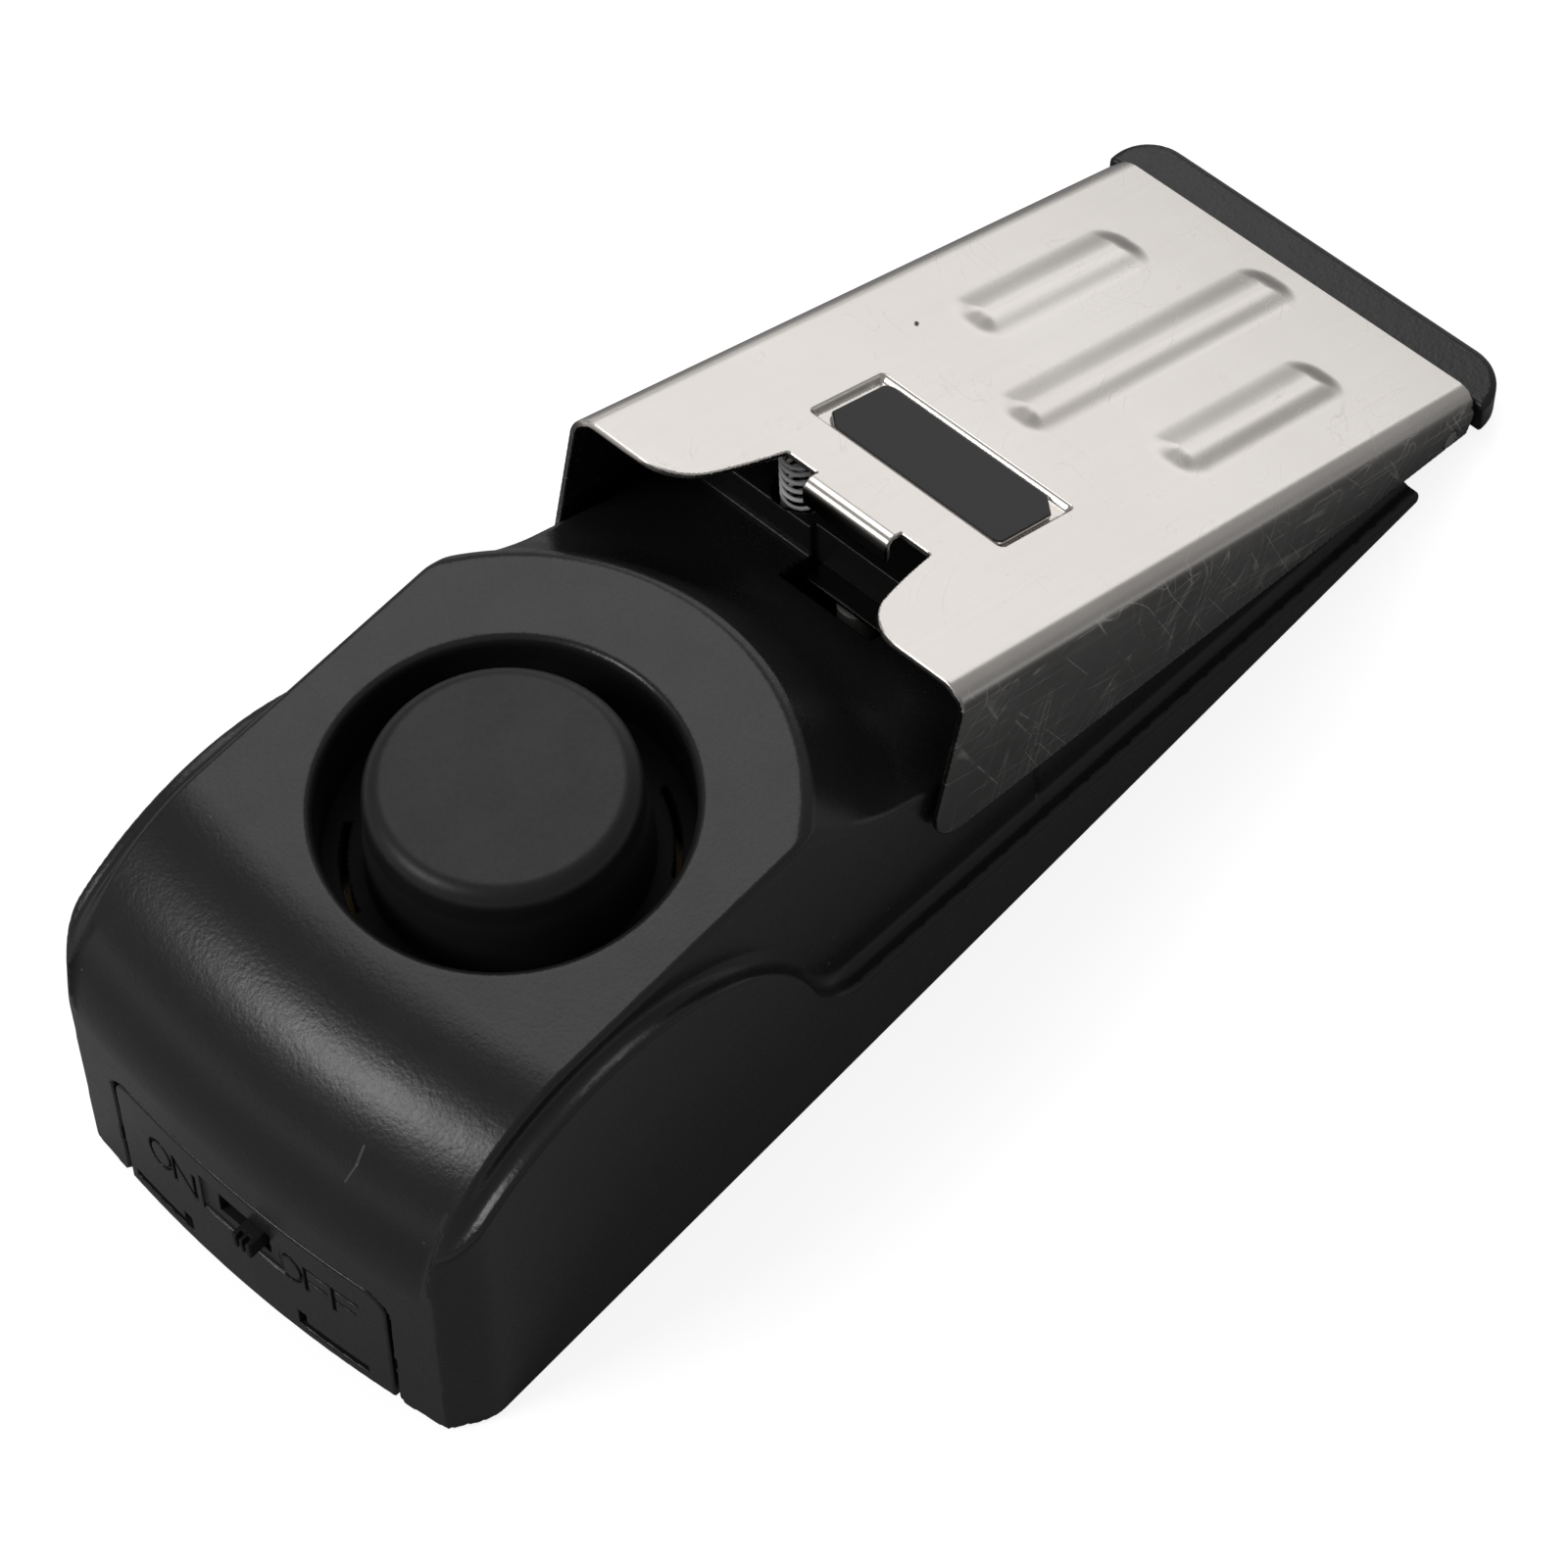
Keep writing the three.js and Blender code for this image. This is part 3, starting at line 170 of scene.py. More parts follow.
class Finish(Nodes):
    """A material round one Principled shader, read in object coordinates."""

    def __init__(self, name, **constants):
        self.material = bpy.data.materials.new(name)
        self.material.use_nodes = True
        self.tree = self.material.node_tree
        self.set(**constants)
        self.place = self.node("ShaderNodeTexCoord", out="Object")

    def set(self, **sockets):
        for key, value in sockets.items():
            self.feed(self.tree.nodes["Principled BSDF"].inputs[key.replace("_", " ")], value)
        return self.material

    def noise(self, scale, detail=3.0, roughness=0.55, place=None, distortion=0.0):
        """Soft random values between 0 and 1. The scale is in bumps per metre."""
        return self.node("ShaderNodeTexNoise", Vector=place or self.place, Scale=scale, Detail=detail,
                         Roughness=roughness, Distortion=distortion)

    def stretched(self, stretch, turn=(0.0, 0.0, 0.0)):
        """Object coordinates turned by angles and then scaled along each axis."""
        turned = self.node("ShaderNodeMapping", Vector=self.place, Rotation=turn, vector_type="TEXTURE")
        return self.node("ShaderNodeMapping", Vector=turned, Scale=stretch)

    def blend(self, mask, low, high):
        """A colour between two colours."""
        mixed = self.node("ShaderNodeMix", mask, data_type="RGBA", out=MIX_RESULT)
        for socket, value in zip(mixed.socket.node.inputs[MIX_COLOURS], (low, high)):
            self.feed(socket, value)
        return mixed

    def coat(self, colour, rough, height, depth, **sockets):
        """Sets colour, roughness and bump together. The material is finished then."""
        bump = self.node("ShaderNodeBump", Height=height, Distance=depth)
        return self.set(Base_Color=colour, Roughness=rough, Normal=bump, **sockets)

    def vector(self, operation, *values, out="Value", **named):
        return self.node("ShaderNodeVectorMath", *values, operation=operation, out=out, **named)

    def part(self, axis):
        return self.node("ShaderNodeSeparateXYZ", self.place, out=axis)

    def over(self, normal, level):
        """How far a place lies over a plane."""
        return self.vector("DOT_PRODUCT", self.place, Vector(normal)) - level

    def line_mark(self, a, b, width):
        """1 on the line between two places, 0 beyond its width. A scratch, a nick or a speck."""
        a, b = Vector(a) * MM, Vector(b) * MM
        start = self.vector("SUBTRACT", self.place, a, out="Vector")
        share = (self.vector("DOT_PRODUCT", start, b - a) / (b - a).length_squared).clear()
        foot = self.vector("SCALE", b - a, Scale=share, out="Vector")
        return 1 - self.vector("DISTANCE", start, foot).step(width * 0.4 * MM, width * MM)


def grey(value, warmth=0.0):
    """A neutral colour, a little warmer or cooler."""
    return (value * (1 + warmth), value, value * (1 - warmth), 1.0)


def shades(colour, *factors):
    """One colour, darker or lighter."""
    return [tuple(min(c * factor, 1.0) for c in colour) + (1.0,) for factor in factors]


print("shader helpers ready")

# %% [markdown]
# ## Finishes
# The black shell is moulded with a fine grain: a satin black under soft light, with a few pale specks
# of dust. A single colour would look like paint, so colour, gloss and bump each vary a little, at the
# sizes that the real grain, handling and dust have. Two masks are laid over that: a few scratches,
# and painted shade in the depth of the recess, where no light comes.


# %% Moulded black
def moulded_black(name, shade=0.012, gloss=0.29, grain=3200.0, depth=0.000024, dust=0.55, painted_shade=None,
                  scratches=()):
    f = Finish(name, IOR=1.47, Specular_IOR_Level=0.3)
    broad = f.noise(38.0, 3.0)
    fine = f.noise(grain, 2.0, 0.5)
    cloudy = f.noise(240.0, 4.0, 0.6)
    specks = f.noise(1500.0, 1.0, 0.4).step(0.80, 0.84) * f.noise(90.0, 2.0).step(0.45, 0.7) * dust
    base = f.blend((broad * 0.6 + cloudy * 0.4).clear(), grey(shade * 0.8), grey(shade * 1.25, 0.02))
    for scratch in scratches:
        specks = specks + f.line_mark(*scratch) * 0.35
    colour = f.blend(specks.clear(), base, grey(0.16, 0.05))
    rough = gloss + (cloudy - 0.5) * 0.10 + (fine - 0.5) * 0.10 + specks * 0.2
    # Painted shade: a near black colour and a rougher face where the mask says no lamp reaches.
    if painted_shade is not None:
        shadow = painted_shade(f)
        colour = f.blend(shadow, colour, grey(0.003))
        rough = rough + shadow * 0.55
    return f.coat(colour, rough, fine * 0.7 + f.noise(grain * 0.45, 1.0) * 0.6, depth)


# %% [markdown]
# The plate is thin stainless sheet. Rolling leaves fine lines along it, handling leaves scratches
# in every direction, and both change the gloss more than the colour. The lines are noise stretched
# along the plate; a scratch is the thin band where a slow noise crosses one value. The flanges are
# more scratched, and painted darker as shade for the dark that they mirror, with a painted highlight
# along the cut edge; what lies in the shadow below is painted dark.


# %% Rolled steel
FLANGE_BAND = (0.0198, 0.0213)
EDGE_HIGHLIGHT_BAND = (-0.00028, -0.00018)
SHADOW_BAND = (-0.0017, -0.0008)


def rolled_steel(name, slope, face, foot, speck):
    shade, gloss = 0.59, 0.25
    f = Finish(name, Metallic=1.0)
    lines = f.noise(1.0, 3.0, 0.6, f.stretched((26.0, 2600.0, 2600.0), (0.0, slope, 0.0)))
    cloudy = f.noise(48.0, 4.0, 0.6)
    side = f.node("ShaderNodeMath", f.part("Y"), operation="ABSOLUTE").step(*FLANGE_BAND)

    def scratch(line, thin, where):
        return (1 - ((line - 0.5) * (line - 0.5) * thin).clear()) * where

    marks = 0.0
    for turn, density in ((35, 0.9), (-52, 0.8), (80, 0.7), (10, 0.6)):
        place = f.stretched((70.0, 330.0, 330.0), (0.0, slope, math.radians(turn)))
        where = f.noise(60.0 + turn, 2.0).step(0.52, 0.66)
        marks = marks + scratch(f.noise(1.0, 1.5, 0.4, place, 0.3), 30000.0, where) * density
    for turn, density in ((24, 0.8), (-38, 0.7), (66, 0.9), (8, 0.6), (-74, 0.6)):
        place = f.stretched((16.0, 420.0, 420.0), (0.0, math.radians(turn), 0.0))
        where = f.noise(150.0 + turn, 2.0).step(0.44, 0.58)
        marks = marks + scratch(f.noise(1.0, 0.0, 0.4, place), 6500.0, where) * side * density
    base = f.blend(cloudy.step(0.3, 0.75), grey(shade * 0.96, 0.055), grey(shade * 1.05, 0.045))
    # Painted shade: the flanges get a darker copy of the steel, for the dark that they mirror.
    painted_flange_shade = f.blend(cloudy.step(0.4, 0.65), grey(shade * 0.19, 0.03), grey(shade * 0.27, 0.03))
    base = f.blend(side, base, painted_flange_shade)
    # Painted highlight: a thin band along the flanges' cut edge keeps the bright steel colour.
    cut = f.over(foot[:3], foot[3]).step(*EDGE_HIGHLIGHT_BAND)
    base = f.blend(cut * side, base, grey(shade, 0.03))
    # Painted shade: steel below the plate's face, the stop tab and its hook, is painted near black.
    under = 1 - f.over((math.sin(slope), 0.0, math.cos(slope)), face).step(*SHADOW_BAND)
    base = f.blend(under * (1 - side), base, grey(shade * 0.05, 0.02))
    base = f.blend(f.line_mark(*speck), base, grey(0.03))
    colour = f.blend((marks * (0.14 + side * 0.30)).clear(), base, grey(shade * 1.25, 0.04))
    rough = gloss + (lines - 0.5) * 0.07 + (cloudy - 0.5) * 0.10 + marks * 0.10 - side * 0.05
    return f.coat(colour, rough, lines * 0.25 + marks * 0.5, 0.000003)


# %% Other metals
def plain_metal(name, colour, gloss):
    f = Finish(name, Metallic=1.0)
    cloudy, fine = f.noise(180.0), f.noise(900.0)
    shade = f.blend((cloudy * 0.7 + fine * 0.3).step(0.3, 0.7), *shades(colour, 0.72, 1.0))
    return f.coat(shade, gloss + (fine - 0.5) * 0.14, fine, 0.000006)


# %% Soft and coloured plastics
def tinted(name, colour, gloss):
    f = Finish(name)
    cloudy, fine = f.noise(180.0), f.noise(1800.0, 2.0)
    shade = f.blend((cloudy * 0.6 + fine * 0.4).step(0.3, 0.7), *shades(colour, 0.8, 1.12))
    return f.coat(shade, gloss + (fine - 0.5) * 0.12, fine, 0.00001)


# %% Foam rubber
def foam_rubber(name):
    f = Finish(name, IOR=1.45)
    cells = f.node("ShaderNodeTexVoronoi", Vector=f.place, Scale=1500.0, feature="F1", out="Distance")
    cloudy = f.noise(120.0)
    colour = f.blend((cells * 0.9 + cloudy * 0.3).clear(), grey(0.008), grey(0.034))
    return f.coat(colour, 0.80 + cloudy * 0.12, cells, 0.00012)


# %% Circuit board
def solder_mask(name):
    f = Finish(name, IOR=1.5)
    tracks = f.node("ShaderNodeTexBrick", Vector=f.place, Scale=160.0, Mortar_Size=0.02, out="Fac")
    cloudy = f.noise(300.0)
    green, pale = (0.006, 0.075, 0.028, 1.0), (0.03, 0.19, 0.075, 1.0)
    colour = f.blend((tracks * 0.4 + cloudy * 0.3).clear(), green, pale)
    return f.coat(colour, 0.34 + cloudy * 0.1, tracks, 0.00003)


print("finishes written")

# %% [markdown]
# ## Shapes from distances
# A moulding is planes, cylinders and cones that meet in small rounded edges. As a distance field
# each of them is one line of arithmetic, a rounded edge is one function of two distances, and a
# cut is an intersection with the outside of the cutter. The surface is where the field is zero.


# %% Joining distances
def both(form, *others):
    """Inside all of the forms, with sharp edges."""
    for other in others:
        form = np.maximum(form, other)
    return form


def either(form, *others):
    """Inside any of the forms."""
    for other in others:
        form = np.minimum(form, other)
    return form


def rounded_both(a, b, radius):
    """Inside both a and b, with a convex edge of the given radius."""
    out = np.hypot(np.maximum(a + radius, 0), np.maximum(b + radius, 0))
    return np.minimum(np.maximum(a, b), -radius) + out


def rounded_either(a, b, radius):
    """Inside a or b, with a hollow fillet of the given radius."""
    out = np.hypot(np.maximum(radius - a, 0), np.maximum(radius - b, 0))
    return np.maximum(np.minimum(a, b), radius) - out


def slab(v, low, high):
    return np.maximum(low - v, v - high)


def block(x, y, z, low, high, radius=0.0):
    """A box, with all of its edges rounded."""
    q = [np.abs(v - (a + b) / 2) - (b - a) / 2 + radius for v, a, b in zip((x, y, z), low, high)]
    out = np.sqrt(sum(np.maximum(v, 0) ** 2 for v in q))
    return out + np.minimum(both(*q), 0) - radius


def from_axis(x, y, at, side=0.0):
    """Distance from an upright axis, or from two that stand at equal distances from the middle."""
    return np.hypot(x - at, np.abs(y) - side)


def stroke(u, v, a, b):
    """Distance in a plane from the line between a and b."""
    du, dv = b[0] - a[0], b[1] - a[1]
    t = np.clip(((u - a[0]) * du + (v - a[1]) * dv) / (du * du + dv * dv), 0, 1)
    return np.hypot(u - a[0] - t * du, v - a[1] - t * dv)


# %% [markdown]
# To mesh a field, space is cut into small cells. Each cell that the surface crosses gets one point,
# and each grid edge that it crosses gets one face between the four cells round it. The points slide
# down the field onto the true surface, Decimate spends the faces where the shape curves, and the
# field's own slope gives exact normals.


# %% Slope and settling
SLOPE_STEP = 0.02


def slope_of(field, p):
    """The field's gradient at points p, by central differences."""
    rises = [field(*(p + shift).T) - field(*(p - shift).T) for shift in np.eye(3) * SLOPE_STEP]
    return np.stack(rises, 1) / (2 * SLOPE_STEP)


def settle(field, p, reach, rounds=3):
    """Moves points onto the surface, by no more than reach."""
    start = p.copy()
    for _ in range(rounds):
        g = slope_of(field, p)
        p = p - g * (field(*p.T) / np.maximum((g * g).sum(1), 0.05))[:, None]
        moved = p - start
        far = np.linalg.norm(moved, axis=1)
        p = start + moved * np.minimum(1, reach / np.maximum(far, 1e-9))[:, None]
    return p


# %% Crossing cells
BLOCK = 12


def near_blocks(field, low, high, cell):
    """Blocks of cells that the surface may pass through."""
    count = np.ceil((high - low) / (cell * BLOCK)).astype(int)
    ids = np.argwhere(np.ones(count, bool))
    middle = low + (ids + 0.5) * BLOCK * cell
    return ids[np.abs(field(*middle.T)) < BLOCK * cell * 1.15], count * BLOCK + 2


def crossed(value, start):
    """Cells of some blocks that the surface crosses: their numbers and a point in each."""
    inside = value < 0
    corners = list(np.ndindex(2, 2, 2))
    total = sum(inside[:, i:i + BLOCK, j:j + BLOCK, k:k + BLOCK].astype(np.int8) for i, j, k in corners)
    b, i, j, k = np.nonzero((total > 0) & (total < 8))
    corner = {c: value[b, i + c[0], j + c[1], k + c[2]] for c in corners}
    place, hits = np.zeros((len(b), 3)), np.zeros(len(b))
    for c in corners:
        for axis in range(3):
            if c[axis] == 0:
                d = tuple(v + (n == axis) for n, v in enumerate(c))
                cross = (corner[c] < 0) != (corner[d] < 0)
                t = np.where(cross, corner[c] / np.where(cross, corner[c] - corner[d], 1), 0)
                at = np.tile(np.array(c, float), (len(b), 1))
                at[:, axis] += t
                place[cross] += at[cross]
                hits += cross
    ids = start[b] + np.stack([i, j, k], 1)
    return ids, ids + place / hits[:, None]


def crossing_edges(value, start):
    """Grid edges that the surface crosses, with the axis and the way that it faces."""
    inside = (value < 0).astype(np.int8)
    found = []
    for axis in range(3):
        cut = tuple(slice(None) if n in (0, axis + 1) else slice(0, BLOCK) for n in range(4))
        change = np.diff(inside[cut], axis=axis + 1)
        for sign in (1, -1):
            b, i, j, k = np.nonzero(change == sign)
            found.append((axis, sign, start[b] + np.stack([i, j, k], 1)))
    return found


def cells_of(field, low, high, cell):
    """Points and quads of the surface between two corners."""
    low, high = np.asarray(low, float) - 2.5 * cell, np.asarray(high, float) + 2.5 * cell
    blocks, size = near_blocks(field, low, high, cell)
    step = np.arange(BLOCK + 1)
    ids, places, edges = [], [], []
    for part in np.array_split(blocks, max(1, len(blocks) // 400)):
        start = part * BLOCK
        i, j, k = [start[:, n].reshape(-1, 1, 1, 1) + step.reshape([-1 if m == n else 1 for m in range(3)])
                   for n in range(3)]
        value = field(low[0] + i * cell, low[1] + j * cell, low[2] + k * cell)
        value = np.broadcast_to(value, (len(part),) + (BLOCK + 1,) * 3)
        made = crossed(value, start)
        ids.append(made[0])
        places.append(made[1])
        edges += crossing_edges(value, start)
    ids, places = np.concatenate(ids), np.concatenate(places)
    code = lambda v: ((v[:, 0] + 1) * size[1] + v[:, 1] + 1) * size[2] + v[:, 2] + 1
    order = np.argsort(code(ids))
    known = code(ids)[order]
    quads = []
    for axis, sign, e in edges:
        u, v = [(1, 2), (2, 0), (0, 1)][axis]
        ring, sure = [], np.ones(len(e), bool)
        for du, dv in ((1, 1), (0, 1), (0, 0), (1, 0)):
            c = e.copy()
            c[:, u] -= du
            c[:, v] -= dv
            at = np.minimum(np.searchsorted(known, code(c)), len(known) - 1)
            sure &= known[at] == code(c)
            ring.append(order[at])
        quads.append(np.stack(ring if sign == -1 else ring[::-1], 1)[sure])
    return low + places * cell, np.concatenate(quads)


# %% A piece from points and faces
def to_row(points):
    """From the drawing's millimetres to the frame's metres."""
    return (np.asarray(points, float) + [-MIDDLE, 0.0, FOOT]) * MM


def from_arrays(name, points, faces):
    mesh = bpy.data.meshes.new(name)
    mesh.vertices.add(len(points))
    mesh.vertices.foreach_set("co", np.asarray(points, np.float32).ravel())
    sides = faces.shape[1]
    mesh.loops.add(faces.size)
    mesh.loops.foreach_set("vertex_index", faces.ravel().astype(np.int32))
    mesh.polygons.add(len(faces))
    mesh.polygons.foreach_set("loop_start", np.arange(0, faces.size, sides, dtype=np.int32))
    mesh.update(calc_edges=True)
    mesh.validate()
    return mesh


def settled(made):
    """A plain mesh with the modifiers of an object carried out."""
    graph = bpy.context.evaluated_depsgraph_get()
    mesh = bpy.data.meshes.new_from_object(made.evaluated_get(graph), depsgraph=graph)
    old = made.data
    made.modifiers.clear()
    made.data = mesh
    mesh.name = made.name
    bpy.data.meshes.remove(old)
    return made


def triangles(made):
    made.data.calc_loop_triangles()
    return len(made.data.loop_triangles)


# %% Skinning a field
def skin(name, field, low, high, cell, budget):
    """The field's surface as a smooth piece of about budget triangles."""
    points, quads = cells_of(field, low, high, cell)
    points = settle(field, points, cell * 0.8)
    made = link(from_arrays(name, points, quads), name)
    if len(quads) * 2 > budget:
        thin = made.modifiers.new("thin", "DECIMATE")
        thin.ratio = budget / (len(quads) * 2)
        settled(made)
    mesh = made.data
    p = np.empty(len(mesh.vertices) * 3, np.float32)
    mesh.vertices.foreach_get("co", p)
    p = settle(field, p.reshape(-1, 3).astype(float), cell * 0.25, 2)
    normals = slope_of(field, p)
    normals /= np.maximum(np.linalg.norm(normals, axis=1), 1e-9)[:, None]
    mesh.vertices.foreach_set("co", to_row(p).astype(np.float32).ravel())
    mesh.polygons.foreach_set("use_smooth", np.ones(len(mesh.polygons), bool))
    mesh.update()
    mesh.normals_split_custom_set_from_vertices(normals.tolist())
    print(name, "from", len(quads), "cells to", triangles(made), "triangles")
    return made


def finish_piece(made, material, body, slot, *nodes):
    """Gives a piece its finish and its body, and hides the CAD nodes that it stands for. The slot is not
    used.
    """
    made.data.materials.clear()
    made.data.materials.append(material)
    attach(made, body)
    if nodes:
        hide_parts(*nodes)


# %% [markdown]
# ## The housing
# The shell is four forms: side walls with a round hump that run low to the front, and between them
# the dome with its rolled back edge, a cone that flares down from its rim, and a block that slopes to
# the toe. It is one moulding, so each form meets the next in a small radius, and the walls lean in a
# little so that the mould can open.

# %% Sizes of the housing
HALF = 22.5
DOME_HALF = 20.25
PLATEAU = 36.2
WALL = 2.2
DRAFT = 0.01
LEAN = 0.04
BOW = 120.0
CORNER = 4.3
HUMP = (21.1, 10.2, 24.3)
LEDGE_START = (52.5, 11.0)
LEDGE_END = (124.6, 1.2)
LEDGE_BLEND = 5.0
STRIP_FILLET = 1.1
STRIP_START = 15.0
BACK_ROLL = 16.0
SIREN_X = 33.2
RIM = 23.8
FLARE = 0.68
RECESS = 15.06
RECESS_FLOOR = 28.8
SOUND = (13.33, 0.3, math.pi / 3, 0.31)
SLOPE = math.atan2(32.5, 70.6)
NECK = (70.3, 21.7)
VALLEY_X = 74.2
BLOCK_TOP = 24.3
BLOCK_START = 44.0
BLOCK_END = 4.0
TOE = (134.0, 139.0, 21.9, 3.6, 4.5)
PANEL = (15.2, 16.4, 2.2, 0.3)
PANEL_GAP = 0.35
SLOT = (70.3, 75.0, 5.05, 12.0)
WELL = (77.0, 8.6, 2.6, 19.4)
COVER_TOP = 2.05
EDGE = 0.45


# %% Side walls
def rear_wall(x, y, z):
    return LEAN * z + y * y / (2 * BOW) - x


def side_walls(x, y, z):
    side = (np.abs(y) - HALF + DRAFT * z) / math.hypot(1, DRAFT)
    plan = rounded_both(rear_wall(x, y, z), side, CORNER)
    hump = np.hypot(x - HUMP[0], np.maximum(z - HUMP[1], 0)) - HUMP[2]
    fall = (LEDGE_START[1] - LEDGE_END[1]) / (LEDGE_END[0] - LEDGE_START[0])
    ledge = (z - LEDGE_START[1] + fall * (x - LEDGE_START[0])) / math.hypot(1, fall)
    walls = rounded_both(plan, rounded_either(hump, ledge, LEDGE_BLEND), EDGE)
    return rounded_both(walls, x - LEDGE_END[0], EDGE)


# %% Dome and cone
def dome(x, y, z, inset=0.0):
    roll = BACK_ROLL - inset
    profile = rounded_both(rear_wall(x, y, z) + inset, z - PLATEAU + inset, roll)
    out = np.hypot(np.maximum(x - SIREN_X, 0), y)
    cone = (out - RIM + inset - (PLATEAU - z) * FLARE) / math.hypot(1, FLARE)
    return rounded_both(profile, cone, max(0.7 - inset, 0.1))


# %% Neck, valley and sloping block
def sloping_block(x, z, inset=0.0):
    neck = (z - NECK[1] - (NECK[0] - x) * math.tan(SLOPE) + inset) * math.cos(SLOPE)
    neck = both(neck, x - VALLEY_X - inset)
    run = LEDGE_END[0] - VALLEY_X
    height = BLOCK_TOP + (BLOCK_END - BLOCK_TOP) * (x - VALLEY_X) / run
    top = (z - height + inset) / math.hypot(1, (BLOCK_TOP - BLOCK_END) / run)
    top = rounded_both(top, VALLEY_X - x + inset, 0.3)
    return both(rounded_either(neck, top, 0.3), x - LEDGE_END[0] + inset, BLOCK_START - x)


def upper_form(x, y, z, inset=0.0):
    """Dome and block joined in a hollow fillet, between two flat sides."""
    joined = rounded_either(dome(x, y, z, inset), sloping_block(x, z, inset), 1.2)
    return rounded_both(joined, np.abs(y) - DOME_HALF + inset, max(0.6 - inset, 0.1))


# %% Toe
def toe(x, y, z):
    x0, x1, half, top, corner = TOE
    plan = rounded_both(x - x1, np.abs(y) - half, corner)
    lip = rounded_both(both(plan, x0 - x), z - top, 0.6)
    neck = both(slab(x, LEDGE_END[0] - WALL, x1 - 2.5), np.abs(y) - DOME_HALF)
    drop = BLOCK_END + (top - BLOCK_END) * (x - LEDGE_END[0]) / (x0 - LEDGE_END[0])
    return either(lip, both(neck, z - drop))


# %% Openings of the housing
def panel_shape(y, z, gap):
    half, top, corner, _ = PANEL
    return rounded_both(np.abs(y) - half - gap, z - top - gap, corner + gap)


def hollow(x, y, z):
    """The room inside, closed below by the base cover."""
    inner = DOME_HALF - WALL
    low = block(x, y, z, (2.7, -inner, -9.0), (LEDGE_END[0] - WALL, inner, COVER_TOP))
    rear = block(x, y, z, (4.2, -inner, -9.0), (40.0, inner, 12.0))
    cup = both(from_axis(x, y, SIREN_X) - RECESS - WALL, RECESS_FLOOR - WALL - z)
    return both(either(upper_form(x, y, z, WALL), low, rear), -cup)


def housing_cuts(x, y, z):
    recess = rounded_both(from_axis(x, y, SIREN_X) - RECESS, RECESS_FLOOR - z, 0.4)
    panel = both(panel_shape(y, z, PANEL_GAP), x - 7.0)
    lip_room = block(x, y, z, (-1.0, -15.95, -1.0), (3.5, 15.95, 0.55))
    slot = block(x, y, z, (SLOT[0], -SLOT[2], SLOT[3]), (SLOT[1], SLOT[2], 60.0))
    well = both(from_axis(x, y, *WELL[:2]) - WELL[2], WELL[3] - z)
    return recess, either(panel, lip_room, slot, well)


def sound_slots(x, y, z):
    """Six curved slots through the floor of the recess, round the cap."""
    ring, half, part, share = SOUND
    turn = np.mod(np.arctan2(y, x - SIREN_X), part) - part * share
    out = from_axis(x, y, SIREN_X)
    gap = (np.abs(turn) - part * share) * out
    return both(np.abs(out - ring) - half, gap, slab(z, RECESS_FLOOR - 2 * WALL, RECESS_FLOOR + WALL))


# %% The whole housing
def housing(x, y, z):
    beside = either(DOME_HALF - 0.3 - np.abs(y), z - STRIP_START)
    outer = rounded_either(upper_form(x, y, z), both(side_walls(x, y, z), beside), STRIP_FILLET)
    outer = both(outer, rear_wall(x, y, z), x - LEDGE_END[0])
    outer = rounded_both(either(outer, toe(x, y, z)), -z, 0.25)
    recess, cuts = housing_cuts(x, y, z)
    body = rounded_both(outer, -recess, 0.8)
    body = rounded_both(body, -either(cuts, sound_slots(x, y, z)), 0.12)
    return both(body, -hollow(x, y, z))


def painted_shade_below(low, high):
    """A mask of painted shade: 1 round the siren and below two heights, where no lamp reaches."""
    def mask(f):
        middle = (-to_row((SIREN_X, 0, 0))).tolist()
        away = f.node("ShaderNodeMapping", Vector=f.place, Location=middle, Scale=(1.0, 1.0, 0.0))
        near = 1 - f.vector("LENGTH", away).step((RECESS - 0.06) * MM, (RECESS + 0.34) * MM)
        return near * (1 - f.part("Z").step(low * MM, high * MM))
    return mask


SCRATCHES = (((-62.8, -10.8, 31.4), (-63.95, -10.95, 30.1), 0.15),
             ((-63.95, -10.95, 30.1), (-65.05, -10.6, 28.5), 0.12),
             ((-66.4, -20.3, 17.9), (-66.1, -20.8, 17.5), 0.2))
HOUSING = skin("housing", housing, (0, -HALF, 0), (BODY_LENGTH, HALF, PLATEAU), 0.36, 180000)
# Painted shade in the depth of the recess round the siren.
HOUSING_BLACK = moulded_black("moulded_black", painted_shade=painted_shade_below(32.8, 35.4), scratches=SCRATCHES)
finish_piece(HOUSING, HOUSING_BLACK, "case", "housing", "top_housing")

# %% [markdown]
# ## The pressure plate
# The plate is one blank of 0.6 mm sheet, cut, pressed and folded, so it is drawn as the blank: s runs
# down the slope, w runs across and on round the bends, and depth goes into the sheet. Folding is a
# rule that gives all three for any point in space. Outline, ribs and recess stay simple that way.

# %% Sizes of the plate
PLATE_REAR = (63.8, 37.1)
PLATE_LENGTH = 77.72
PLATE_HALF = 21.4
SHEET = 0.6
FOLD = 2.6
FLANGE = (3.1, 17.8, 4.0)
FLANGE_FRONT = (72.5, 5.2, 2.6)
NOTCH = (12.2, 7.5, 9.5, 4.0)
TAB = (11.6, 4.6, 1.0, 18.2, 3.0)
LABEL_SEAT = (18.4, 28.6, 10.6, 0.7)
RIBS = ((42.0, 66.0, 11.2), (34.2, 74.2, 0.0), (42.0, 66.0, -11.2))
RIB_HALF = 2.5
RIB_RISE = 0.52
RIB_SOFT = (-1.5, 1.7)
PIN = (3.1, 3.7, 0.9, 0.08)


# %% Folding rule
DOWN, OUT = (math.cos(SLOPE), -math.sin(SLOPE)), (math.sin(SLOPE), math.cos(SLOPE))


